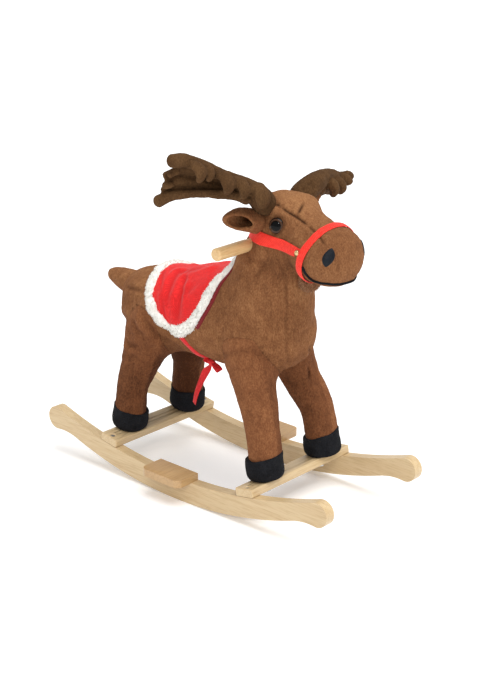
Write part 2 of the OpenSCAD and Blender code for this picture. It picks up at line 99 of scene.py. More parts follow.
# ---- materials ----
class Graph:
    """A short way to write a material's nodes."""

    def __init__(self, name):
        self.mat = bpy.data.materials.new(name)
        self.mat.use_nodes = True
        self.tree = self.mat.node_tree
        self.coords = self.add("TexCoord").outputs["Object"]

    def put(self, socket, value):
        if isinstance(value, bpy.types.NodeSocket):
            self.tree.links.new(value, socket)
        else:
            color = socket.type == "RGBA" and len(value) == 3
            socket.default_value = (*value, 1.0) if color else value

    def add(self, kind, *values, **sets):
        """A node with its options, its named inputs and its first inputs in order."""
        n = self.tree.nodes.new("ShaderNode" + kind)
        for i, value in enumerate(values):
            self.put(n.inputs[i], value)
        for key, value in sets.items():
            if hasattr(n, key):
                setattr(n, key, value)
            else:
                self.put(n.inputs[key.replace("_", " ")], value)
        return n

    def at(self, stretch):
        if stretch is None:
            return self.coords
        return self.add("Mapping", Vector=self.coords, Scale=stretch).outputs[0]

    def noise(self, scale, detail=2.0, rough=0.5, at=None, distort=0.0):
        return self.add("TexNoise", Vector=self.at(at), Scale=scale, Detail=detail,
                        Roughness=rough, Distortion=distort).outputs["Fac"]

    def wave(self, scale, at, distort):
        return self.add("TexWave", Vector=self.at(at), Scale=scale, Distortion=distort,
                        bands_direction="DIAGONAL", Detail=1.0).outputs["Fac"]

    def attribute(self, name):
        return self.add("Attribute", attribute_name=name).outputs["Fac"]

    def math(self, op, a, b):
        return self.add("Math", a, b, operation=op).outputs[0]

    def plus(self, a, b):
        return self.math("ADD", a, b)

    def times(self, a, b):
        return self.math("MULTIPLY", a, b)

    def ramp(self, fac, *stops):
        n = self.add("ValToRGB", fac)
        el = n.color_ramp.elements
        while len(el) < len(stops):
            el.new(0.5)
        for e, (at, color) in zip(el, stops):
            e.position, e.color = at, (*color, 1.0)
        return n.outputs[0]

    def mix(self, fac, a, b):
        n = self.add("Mix", fac, data_type="RGBA")
        self.put(n.inputs[6], a)
        self.put(n.inputs[7], b)
        return n.outputs[2]

    def bump(self, height, strength, distance, under=None):
        below = {} if under is None else {"Normal": under}
        return self.add("Bump", Strength=strength, Distance=distance, Height=height, **below).outputs[0]

    def set(self, **sets):
        for key, value in sets.items():
            self.put(self.tree.nodes["Principled BSDF"].inputs[key.replace("_", " ")], value)
        return self.mat


def scaled(values, share):
    return tuple(v * share for v in values)


def lin(r, g, b):
    """A colour given as it looks on screen, from 0 to 255, as linear light."""
    return tuple(((c / 255 + 0.055) / 1.055) ** 2.4 if c > 10 else c / 3295 for c in (r, g, b))


def plush(name, dark, mid, light, pile=1.0, sheen=0.24, contrast=1.0):
    """Short brushed pile: patches that lie differently, tufts and single fibres."""
    g = Graph(name)
    patch = g.noise(17.0, 3.0, 0.55, distort=0.4)
    tuft = g.noise(110.0, 3.0, 0.6, at=(1.0, 1.0, 0.45))
    fibre = g.noise(420.0, 3.0, 0.75, at=(1.0, 1.0, 0.6))
    tone = g.attribute("tone")
    for fac, share in ((patch, 0.26), (tuft, 0.22), (fibre, 0.56)):
        tone = g.plus(tone, g.times(g.math("SUBTRACT", fac, 0.5), share * contrast))
    color = g.ramp(g.plus(tone, 0.5), (0.26, dark), (0.5, mid), (0.74, light))
    # The seam attribute is painted shade: it darkens seams, folds, creases and the eye sockets towards a deep
    # brown.
    color = g.mix(g.attribute("seam"), color, scaled(dark, 0.22))
    normal = g.bump(fibre, 0.75 * pile, 0.0016, g.bump(tuft, 0.45 * pile, 0.004))
    return g.set(Base_Color=color, Roughness=0.95, Normal=normal, Specular_IOR_Level=0.12,
                 Sheen_Weight=sheen, Sheen_Roughness=0.5, Sheen_Tint=mid)


def wood(name, pale, mid, streak, along="x"):
    """Sanded pine with long fibres, growth lines and a thin satin varnish."""
    g = Graph(name)
    stretch = [1.0 if axis == along else 14.0 for axis in "xyz"]
    bend = g.noise(2.2, 2.0, 0.4, at=stretch)
    ring = g.math("POWER", g.math("PINGPONG", g.times(bend, 14.0), 1.0), 1.8)
    fine = scaled(stretch, 0.5)
    fibre = g.noise(60.0, 4.0, 0.6, at=fine)
    pores = g.noise(260.0, 2.0, 0.6, at=fine)
    blotch = g.noise(7.0, 2.0, 0.5, at=scaled(stretch, 0.25))
    color = g.mix(g.times(ring, 0.42), pale, mid)
    grain = g.ramp(fibre, (0.48, (0, 0, 0)), (0.80, (0.75, 0.75, 0.75)))
    color = g.mix(grain, color, streak)
    color = g.mix(g.times(blotch, 0.4), color, scaled(mid, 0.85))
    normal = g.bump(pores, 0.10, 0.0004, g.bump(fibre, 0.12, 0.0008))
    rough = g.ramp(pores, (0.3, (0.36,) * 3), (0.8, (0.52,) * 3))
    return g.set(Base_Color=color, Roughness=rough, Normal=normal, Coat_Weight=0.25,
                 Coat_Roughness=0.25)


def felt(name, base, light):
    g = Graph(name)
    fuzz = g.noise(420.0, 4.0, 0.7)
    mat = g.noise(60.0, 3.0, 0.6)
    color = g.ramp(g.plus(g.times(fuzz, 0.6), g.times(mat, 0.4)), (0.35, base), (0.72, light))
    normal = g.bump(mat, 0.25, 0.003, g.bump(fuzz, 0.5, 0.0014))
    return g.set(Base_Color=color, Roughness=0.95, Normal=normal, Specular_IOR_Level=0.1,
                 Sheen_Weight=0.22, Sheen_Roughness=0.5, Sheen_Tint=light)


def woven(name, dark, light, threads, sheen):
    """Tight woven tape: ribs of yarn with a small random shade."""
    g = Graph(name)
    weave = g.times(g.wave(threads / 6.28, None, 0.6), g.wave(threads / 6.28, (1.0, -1.0, 1.0), 0.5))
    yarn = g.noise(220.0, 2.0, 0.6)
    tone = g.plus(g.plus(g.times(weave, 0.45), g.times(yarn, 0.55)), g.attribute("tone"))
    normal = g.bump(weave, 0.4, 0.0006)
    return g.set(Base_Color=g.ramp(tone, (0.2, dark), (0.7, light)), Roughness=0.72, Normal=normal,
                 Sheen_Weight=sheen, Sheen_Roughness=0.4, Specular_IOR_Level=0.3)


def metal(name, color, rough):
    g = Graph(name)
    scratch = g.noise(300.0, 4.0, 0.7, at=(1.0, 5.0, 1.0))
    spots = g.noise(120.0, 2.0, 0.5)
    tint = g.mix(g.times(spots, 0.5), color, scaled(color, 0.7))
    r = g.plus(g.times(scratch, 0.2), rough - 0.1)
    return g.set(Base_Color=tint, Metallic=1.0, Roughness=r, Normal=g.bump(scratch, 0.08, 0.0003))


def gloss(name, color, ring):
    g = Graph(name)
    c = g.mix(g.attribute("ring"), color, ring)
    speck = g.noise(500.0, 2.0, 0.5)
    return g.set(Base_Color=c, Roughness=g.plus(g.times(speck, 0.03), 0.03),
                 Specular_IOR_Level=0.15)


def satin(name, dark, light):
    g = Graph(name)
    thread = g.noise(700.0, 2.0, 0.6, at=(1.0, 1.0, 0.12))
    color = g.ramp(thread, (0.3, dark), (0.75, light))
    return g.set(Base_Color=color, Roughness=0.42, Normal=g.bump(thread, 0.5, 0.0008), Sheen_Weight=0.3,
                 Sheen_Roughness=0.3, Specular_IOR_Level=0.2)


def floor_paint():
    g = Graph("floor")
    n = g.noise(3.0, 2.0, 0.5)
    return g.set(Base_Color=g.ramp(n, (0.2, (0.93, 0.93, 0.93)), (0.8, (0.95, 0.95, 0.95))),
                 Roughness=0.9, Specular_IOR_Level=0.1, Emission_Color=(1.0, 1.0, 1.0),
                 Emission_Strength=0.16)


# Each material's maker, its colours as they look on screen, and the maker's other numbers
FINISHES = {
    "plush_brown": (plush, ((74, 44, 26), (124, 81, 51), (164, 118, 78))),
    "plush_leg": (plush, ((72, 41, 24), (120, 75, 47), (158, 108, 70))),
    "velour_antler": (plush, ((38, 24, 12), (78, 54, 32), (112, 82, 53)), 0.6, 0.10, 0.7),
    "felt_black": (felt, ((14, 14, 16), (38, 39, 43))),
    "plush_beard": (plush, ((104, 68, 46), (152, 108, 78), (196, 154, 120))),
    "pine_board": (wood, ((212, 188, 146), (190, 158, 112), (166, 130, 84))),
    "pine_cross": (wood, ((212, 188, 146), (190, 158, 112), (166, 130, 84)), "y"),
    "pine_foot": (wood, ((196, 160, 112), (172, 134, 88), (146, 106, 64)), "y"),
    "inner_timber": (wood, ((214, 186, 142), (190, 156, 110), (170, 132, 90)), "z"),
    "beech_dowel": (wood, ((226, 192, 138), (204, 162, 104), (170, 122, 70)), "y"),
    "steel_zinc": (metal, ((196, 198, 200),), 0.35),
    "rivet_brass": (metal, ((214, 190, 140),), 0.3),
    "gloss_eye": (gloss, ((3, 3, 4), (70, 48, 36))),
    "webbing_red": (woven, ((222, 38, 26), (255, 66, 50)), 900.0, 0.1),
    "ribbon_red": (woven, ((184, 18, 24), (232, 44, 46)), 1400.0, 0.15),
    # The saddle red in shade, painted for the cloth's underside where it shows at the front edge.
    "lining_red": (woven, ((110, 16, 22), (150, 30, 34)), 1400.0, 0.15),
    "saddle_red": (woven, ((196, 12, 14), (244, 40, 38)), 1700.0, 0.12),
    "faux_fur_white": (plush, ((226, 223, 214), (243, 241, 235), (252, 251, 248)), 0.5, 0.3),
    "nostril": (satin, ((3, 4, 7), (14, 24, 36))),
}
MATS = {name: make(name, *(lin(*c) for c in colors), *rest)
        for name, (make, colors, *rest) in FINISHES.items()}
MATS["floor"] = floor_paint()

# ---- stuffed shapes: stations of x, y, z, half width and half height, in millimetres ----
TORSO = [
    [-202, 0, 299, 62, 62], [-165, 0, 302, 75, 70], [-95, 0, 306, 81, 75], [-25, 0, 307, 82, 77],
    [45, 0, 309, 83, 79], [105, 0, 316, 81, 80], [142, 0, 326, 68, 70],
]
WITHERS = [[-60, 0, 332, 62, 56], [-20, 0, 340, 66, 62], [20, 0, 350, 68, 64], [60, 0, 366, 66, 66]]
CHEST = [[108, 0, 300, 74, 70], [106, 0, 350, 73, 77], [106, 0, 400, 69, 76], [112, 0, 440, 63, 69]]
THIGH = [[-126, 46, 300, 42, 56], [-140, 50, 262, 38, 56], [-154, 58, 222, 34, 46], [-164, 66, 180, 31, 36]]
NECK = [
    [86, 0, 330, 72, 78], [100, 0, 385, 71, 77], [112, 0, 430, 62, 69], [130, -2, 470, 55, 59],
    [146, -3, 508, 48, 50],
]
HEAD = [
    [-28, 0, 17, 40, 40], [0, 0, 15, 50, 51], [34, 0, 6, 49, 50], [66, 0, -9.5, 49, 50.5],
    [100, 0, -23, 55, 53], [128, 0, -22, 54, 52],
]
BROW = [[146, -32, 534, 24, 23], [158, 0, 540, 27, 25], [161, 23, 534, 27, 24]]
LEG_FRONT = [
    [94, 50, 302, 42, 48], [107, 55, 256, 41, 46], [130, 64, 205, 35, 38], [145, 70, 160, 31, 33],
    [152, 71, 114, 31, 32], [154, 72, 96, 29, 30],
]
LEG_REAR = [
    [-130, 50, 302, 40, 48], [-142, 57, 252, 36, 43], [-157, 65, 205, 32, 36],
    [-166, 70, 160, 31, 32], [-171, 71, 114, 31, 32], [-172, 72, 96, 29, 30],
]
# How far a foot and a knee stand off the mirrored place, because stuffed legs never hang alike
STANCE = {"leg_rear_right": (-4.0, 2.0), "leg_front_left": (5.0, 3.0)}
KNEE = {"leg_front_left": -13.0}
HOOF_SHIFT = {"hoof_rear_right": (-11.0, -3.0), "hoof_front_left": (7.0, 3.0)}
HOOF_RISE = {"hoof_front_right": 3.5, "hoof_front_left": 6.5, "hoof_rear_right": -5.0, "hoof_rear_left": 1.0}
TAIL = [[-200, 0, 312, 27, 28], [-224, 0, 320, 26, 27], [-254, 0, 326, 22, 21], [-290, 0, 331, 15, 13]]
HEAD_PIVOT = np.array([130.0, 0.0, 500.0])
HEAD_TURN = math.radians(8.0)
HEAD_AXES = np.array([[math.cos(HEAD_TURN), -math.sin(HEAD_TURN), 0.0],
                      [math.sin(HEAD_TURN), math.cos(HEAD_TURN), 0.0], [0.0, 0.0, 1.0]])


def in_head(p):
    """From the head's own axes to the row frame."""
    return np.asarray(p, float) @ HEAD_AXES + HEAD_PIVOT


def to_head(p):
    return (p - HEAD_PIVOT) @ HEAD_AXES.T


def smooth_rows(rows, k):
    """A smooth run through the rows, k steps from row to row."""
    r = np.asarray(rows, float)
    n, out = len(r), []
    for i in range(n - 1):
        a, b, c, d = r[max(i - 1, 0)], r[i], r[i + 1], r[min(i + 2, n - 1)]
        for j in range(k):
            t = j / k
            out.append(0.5 * (2 * b + (c - a) * t + (2 * a - 5 * b + 4 * c - d) * t**2
                              + (3 * b - a - 3 * c + d) * t**3))
    out.append(r[-1])
    return np.array(out)


def lengths(v):
    return np.linalg.norm(v, axis=-1)


def unit(v):
    return v / np.maximum(lengths(v), 1e-12)[..., None]


def out_by(p, n, far):
    """Points moved out along their normals."""
    return p + n * np.reshape(far, (-1, 1))


def stuffed(rows, caps, side=(0, 1, 0), n=36, k=5, grow=0.0):
    """Points and faces of a closed stuffed shape with domed ends."""
    p = smooth_rows(rows, k)
    side, m = np.array(side, float), len(p) - 1
    angles = np.linspace(0, 2 * math.pi, n, endpoint=False)[:, None]
    dome = [math.radians(15 * i) for i in range(1, 6)]
    rings = []
    for i, f in [(0, -f) for f in dome[::-1]] + [(i, 0.0) for i in range(m + 1)] + [(m, f) for f in dome]:
        d = unit(p[min(i + 1, m), :3] - p[max(i - 1, 0), :3])
        u = unit(side - side.dot(d) * d)
        w = np.cross(d, u)
        a, b = (p[i, 3:] + grow) * math.cos(f)
        c = p[i, :3] + d * (caps[i > 0] + grow) * math.sin(f)
        rings.append(c + a * np.cos(angles) * u + b * np.sin(angles) * w)
    last = (len(rings) - 1) * n
    ends = [tuple(range(n - 1, -1, -1)), tuple(range(last, last + n))]
    return np.concatenate(rings), grid_faces(len(rings), n) + ends


# ---- meshes ----
def grid_faces(rows, m, wrap=True, around=False):
    """Quads over rows of m points; wrap joins each row's ends, around the last row to the first."""
    return [(k * m + i, k * m + (i + 1) % m, (k + 1) % rows * m + (i + 1) % m, (k + 1) % rows * m + i)
            for k in range(rows if around else rows - 1) for i in range(m if wrap else m - 1)]


def mesh_object(name, pts, faces, mat=None):
    """A new object from points in millimetres."""
    me = bpy.data.meshes.new(name)
    me.from_pydata((np.reshape(pts, (-1, 3)) * MM).tolist(), [], [tuple(f) for f in faces])
    me.validate()
    me.update()
    me.shade_smooth()
    if mat is not None:
        me.materials.append(MATS[mat])
    return added(name, me)


def recalc(o, weld=0.0):
    """Turns the faces outward, after joining points closer than weld millimetres."""
    bm = bmesh.new()
    bm.from_mesh(o.data)
    if weld:
        bmesh.ops.remove_doubles(bm, verts=bm.verts, dist=weld * MM)
    bmesh.ops.recalc_face_normals(bm, faces=bm.faces)
    bm.to_mesh(o.data)
    bm.free()
    return o


def lathe(at, axis, u, w, profile, n):
    """A turned shape: profile holds each ring's radius and height along axis."""
    turn = [2 * math.pi * i / n for i in range(n)]
    pts = [at + axis * h + r * (math.cos(a) * u + math.sin(a) * w) for r, h in profile for a in turn]
    return np.array(pts), grid_faces(len(profile), n)


def roughened(o, share, *noises):
    """Moves the skin along its normals by noises of height, cell, seed and octaves; returns the points."""
    p = coords(o)
    p = out_by(p, normals(o), share * sum(high * field(p, *rest) for high, *rest in noises))
    set_coords(o, p)
    return p


def read(items, key, width, kind=np.float32):
    a = np.empty(len(items) * width, kind)
    items.foreach_get(key, a)
    return a.reshape(-1, width).astype(float if kind == np.float32 else kind)


def coords(o):
    return read(o.data.vertices, "co", 3) / MM


def set_coords(o, p):
    o.data.vertices.foreach_set("co", (np.asarray(p) * MM).astype(np.float32).ravel())
    o.data.update()


def normals(o):
    return read(o.data.vertex_normals, "vector", 3)


def edges(o):
    return read(o.data.edges, "vertices", 2, np.int32)


def faces_of(o):
    return np.array([tuple(f.vertices) for f in o.data.polygons])


def packed(faces):
    """The points that some faces use, and the faces renumbered to them."""
    used, inverse = np.unique(faces.ravel(), return_inverse=True)
    return used, inverse.reshape(faces.shape)


def relax(p, e, turns, weight=1.0):
    """Laplacian smoothing over the edges e; weight may differ from point to point."""
    count = np.bincount(e.ravel(), minlength=len(p))[:, None].clip(1)
    w = 0.6 * np.reshape(weight, (-1, 1))
    for _ in range(turns):
        total = np.zeros_like(p)
        np.add.at(total, e[:, 0], p[e[:, 1]])
        np.add.at(total, e[:, 1], p[e[:, 0]])
        p = p + w * (total / count - p)
    return p


def relaxed(o, turns, weight):
    set_coords(o, relax(coords(o), edges(o), turns, weight))
    return coords(o)


def hollows(p, e, n, turns, deep):
    """How far each point lies in a crease, from 0 on a level place to 1 at deep millimetres."""
    return np.clip(((relax(p, e, turns) - p) * n).sum(axis=1) / deep, -0.5, 1.0)


def apply_modifiers(o):
    me = bpy.data.meshes.new_from_object(o.evaluated_get(bpy.context.evaluated_depsgraph_get()))
    old, o.data = o.data, me
    o.modifiers.clear()
    bpy.data.meshes.remove(old)
    me.shade_smooth()
    return o


def joined(name, parts):
    pts, faces, base = [], [], 0
    for p, f in parts:
        pts.append(p)
        faces += [tuple(i + base for i in face) for face in f]
        base += len(p)
    return mesh_object(name, np.concatenate(pts), faces)


def modified(o, kind, **sets):
    m = o.modifiers.new(kind, kind)
    for key, value in sets.items():
        setattr(m, key, value)
    return apply_modifiers(o)


def thickened(o, thick, offset=0.0):
    return modified(o, "SOLIDIFY", thickness=thick * MM, offset=offset)


def remeshed(o, voxel):
    return modified(o, "REMESH", mode="VOXEL", voxel_size=voxel * MM, use_smooth_shade=True)


def subdivided(o, levels=1):
    return modified(o, "SUBSURF", levels=levels, render_levels=levels)


HASH_PRIMES, HASH_MIX, SEED_STEP = (73856093, 19349663, 83492791), 1274126177, 17.31


def field(p, cell, seed, octaves=2):
    """Smooth value noise from about -1 to 1 at points p, cell in millimetres."""
    out, amp, total = np.zeros(len(p)), 1.0, 0.0
    for octave in range(octaves):
        q = p / cell * (2.0**octave) + seed * SEED_STEP
        i = np.floor(q).astype(np.int64)
        f = q - i
        f = f * f * (3 - 2 * f)
        for corner in itertools.product((0, 1), repeat=3):
            h = np.bitwise_xor.reduce((i + corner) * HASH_PRIMES, axis=1)
            h = (h ^ (h >> 13)) * HASH_MIX
            share = np.prod(np.where(corner, f, 1 - f), axis=1)
            out += amp * share * ((h & 0xFFFF) / 32767.5 - 1.0)
        total += amp
        amp *= 0.5
    return out / total


def attribute(o, name, values):
    a = o.data.attributes.get(name) or o.data.attributes.new(name, "FLOAT", "POINT")
    a.data.foreach_set("value", np.full(len(a.data), values, np.float32))


def gauss(d, w):
    return np.exp(-((d / w) ** 2))


def blob(p, at, scale, size):
    """1 at a place, falling to 0 over size millimetres; scale stretches it along x, y and z."""
    return gauss(lengths((p - at) * scale), size)


# How far a line may lie off the surface and still mark it
FLOAT = 16.0


def polyline_distance(p, line, n=None):
    """Distance from every point to a polyline, and how far along it the nearest point is.

    With normals n, it is the distance along the surface below a line that floats a little."""
    best, where, run = np.full(len(p), 1e9), np.zeros(len(p)), 0.0
    line = np.asarray(line, float)
    for a, b in zip(line[:-1], line[1:]):
        v = b - a
        length = np.linalg.norm(v)
        t = np.clip(((p - a) @ v) / max(length**2, 1e-9), 0, 1)
        gap = p - (a + t[:, None] * v)
        off = np.zeros(len(p)) if n is None else (gap * n).sum(axis=1)
        flat = gap if n is None else gap - off[:, None] * n
        d = lengths(flat) + 3.0 * np.maximum(0.0, np.abs(off) - FLOAT)
        closer = d < best
        best[closer], where[closer] = d[closer], (run + t * length)[closer]
        run += length
    return best, where, run


def tree_of(pts, faces):
    return BVHTree.FromPolygons([tuple(v) for v in pts], [tuple(f) for f in faces])


def shot(tree, at, toward, reach):
    """Where a ray hits a surface, the normal there and the distance, or three times None."""
    hit, normal, _, far = tree.ray_cast(Vector(at), Vector(toward), reach)
    return (None, None, None) if hit is None else (np.array(hit), np.array(normal), far)


def on_surface(tree, p):
    """The nearest point of a surface to each point, and the normal there."""
    found = [tree.find_nearest(v)[:2] for v in p]
    return np.array([at for at, _ in found]), np.array([n for _, n in found])


def smoothed(p, turns, closed):
    """Evens a run of points out; an open run keeps its ends."""
    for _ in range(turns):
        even = 0.5 * p + 0.25 * (np.roll(p, 1, 0) + np.roll(p, -1, 0))
        p = even if closed else np.concatenate([p[:1], even[1:-1], p[-1:]])
    return p


def middle_of(node):
    """The middle and the size of a CAD node's box, in millimetres."""
    lo, hi = (np.array(v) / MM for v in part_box(node))
    return (lo + hi) / 2, hi - lo


def settle(o, replaces=()):
    """Every piece rides on the one body and hides the CAD nodes that it replaces."""
    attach(o, "root")
    if replaces:
        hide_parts(*replaces)


# ---- the plush skin ----
LEG_NODES = ("leg_front_right", "leg_front_left", "leg_rear_right", "leg_rear_left")
SIDES = (("right", -1), ("left", 1))
SHRUNK = -1.5
SKIN_VOXEL = 8.0
LEG_TOP = 330
HEAD_NEAR = 9
EYE_X, EYE_Z = 34, 17


def mirrored(pts, faces):
    q = np.array(pts, float)
    q[:, 1] *= -1
    return q, [f[::-1] for f in faces]


def sewn(rows, caps, side=(0, 1, 0)):
    """A part of the skin before the stuffing swells it."""
    return stuffed(rows, caps, side, grow=SHRUNK)


def skin_parts():
    pts, faces = sewn(HEAD, (22, 42))
    out = {"torso": sewn(TORSO, (34, 36)), "neck": sewn(NECK, (20, 16)), "head": (in_head(pts), faces)}
    for node in sorted(LEG_NODES):
        rows = np.array(LEG_FRONT if "front" in node else LEG_REAR, float)
        s = 1 if node.endswith("left") else -1
        dx, dy = STANCE.get(node, (0.0, 0.0))
        low = np.clip((290 - rows[:, 2]) / 150, 0, 1)
        rows[:, 0] += dx * low + KNEE.get(node, 0.0) * gauss(rows[:, 2] - 225, 50)
        rows[:, 1] += s * dy * low
        shape = sewn(rows, (16, 4))
        out[node] = shape if s > 0 else mirrored(*shape)
    return out


def filler_parts():
    """Stuffing that rounds the hollows between the main shapes."""
    thigh = sewn(THIGH, (20, 14))
    return [sewn(WITHERS, (24, 24)), sewn(CHEST, (20, 16)), thigh, mirrored(*thigh),
            sewn(BROW, (20, 20), (1, 0, 0))]


def distances(trees, p):
    """How far points are from each part and from the nearest leg, and where the legs are sewn on."""
    d = {k: np.array([t.find_nearest(v)[3] for v in p]) for k, t in trees.items()}
    legs = np.min([d[k] for k in LEG_NODES], axis=0)
    return d, legs, np.maximum(np.minimum(d["torso"], d["neck"]), legs)


def swell(o, pinned, pressure, cap, slack=0.0, frames=20):
    """Blow the cloth up against its pinned seams, then keep it within cap of where it was."""
    before = coords(o)
    group = o.vertex_groups.new(name="pin")
    group.add([int(i) for i in np.nonzero(pinned)[0]], 1.0, "REPLACE")
    cloth = o.modifiers.new("cloth", "CLOTH")
    s = cloth.settings
    s.quality, s.mass, s.air_damping = 4, 0.3, 2.0
    s.tension_stiffness = s.compression_stiffness = 12.0
    s.shear_stiffness, s.bending_stiffness = 6.0, 0.4
    s.use_pressure, s.uniform_pressure_force = True, pressure
    s.vertex_group_mass = "pin"
    s.shrink_min = s.shrink_max = -slack
    s.effector_weights.gravity = 0.0
    cloth.collision_settings.use_collision = False
    cloth.point_cache.frame_start, cloth.point_cache.frame_end = 1, frames
    scene = bpy.context.scene
    for f in range(1, frames + 1):
        scene.frame_set(f)
    apply_modifiers(o)
    move = coords(o) - before
    far = np.maximum(lengths(move), 1e-6)
    set_coords(o, out_by(before, move, np.minimum(1.0, cap / far)))
    scene.frame_set(1)


# Sewn seams and lying folds as lines on the surface: points, depth, width and how much painted shade darkens
# their valleys
HEAD_SEAMS = [
    ([(141, -36, 548), (171, -37, 540), (190, -35, 533), (214, -36, 524)], 2.0, 3.2, 0.9),
    ([(178, -6, 549), (183, -20, 541), (189, -33, 533)], 2.2, 3.2, 0.9),
    ([(214, -36, 524), (245, -50, 520), (268, -59, 507)], 1.4, 2.8, 0.65),
]
BODY_SEAMS = [
    ([(160, -33, 440), (166, -34, 404), (167, -34, 368), (172, -40, 336), (168, -36, 300), (160, -20, 262)],
     0.9, 3.4, 0.13),
    ([(180, 16, 290), (172, 36, 262), (158, 48, 236), (155, 46, 206)], 2.2, 3.6, 0.6),
]
FOLDS = [
    ([(-138, -96, 330), (-118, -92, 300), (-98, -84, 276), (-82, -76, 262)], 3.4, 7.0, 0.25),
    ([(-158, -84, 296), (-140, -90, 280), (-118, -88, 268)], 2.2, 6.0, 0.15),
    ([(-176, -76, 250), (-156, -88, 244), (-132, -90, 246)], 2.2, 5.0, 0.15),
    ([(-176, -70, 226), (-156, -84, 222), (-132, -86, 228)], 1.8, 5.0, 0.12),
    ([(-205, -48, 334), (-176, -60, 340), (-152, -64, 343)], 2.4, 5.0, 0.35),
    ([(-204, -46, 268), (-196, -62, 280)], 3.5, 8.0, 0.25),
    ([(120, -60, 420), (134, -58, 446), (150, -52, 462)], 3.0, 9.0, 0.2),
    ([(49, -62, 262), (66, -78, 276), (84, -88, 288), (103, -90, 292), (127, -79, 300), (140, -60, 286)],
     2.4, 8.0, 0.12),
    ([(20, -84, 330), (44, -90, 318), (62, -90, 300)], 1.8, 9.0, 0.1),
    ([(-70, -84, 296), (-50, -78, 276), (-30, -66, 256)], 2.0, 8.0, 0.12),
    ([(60, -84, 380), (92, -80, 396), (120, -66, 412)], 1.6, 10.0, 0.06),
]


def sculpt(p, n, lines):
    """Press the lines in as valleys with a soft swell beside them; returns points and the painted shade in the
    valleys.
    """
    dark = np.zeros(len(p))
    for line, depth, width, valley_shade in lines:
        d, run, total = polyline_distance(p, line, n)
        fade = np.clip(np.minimum(run, total - run) / 8.0, 0.25, 1.0)
        valley = gauss(d, width) - 0.55 * gauss(d - 2.2 * width, 1.4 * width)
        p = out_by(p, n, -fade * depth * valley)
        # Painted shade along each valley, strongest at its floor.
        dark = np.maximum(dark, valley_shade * fade * gauss(d, 0.6 * width))
    return p, dark


def submesh(name, p, faces, mat, attributes):
    """A new object from some of the faces of a mesh, closed where it was cut."""
    used, f = packed(faces)
    o = mesh_object(name, p[used], f.tolist(), mat)
    for key, values in attributes.items():
        attribute(o, key, values[used])
    bm = bmesh.new()
    bm.from_mesh(o.data)
    made = bmesh.ops.holes_fill(bm, edges=[e for e in bm.edges if e.is_boundary], sides=0)["faces"]
    bmesh.ops.triangulate(bm, faces=made)
    bm.to_mesh(o.data)
    bm.free()
    return o


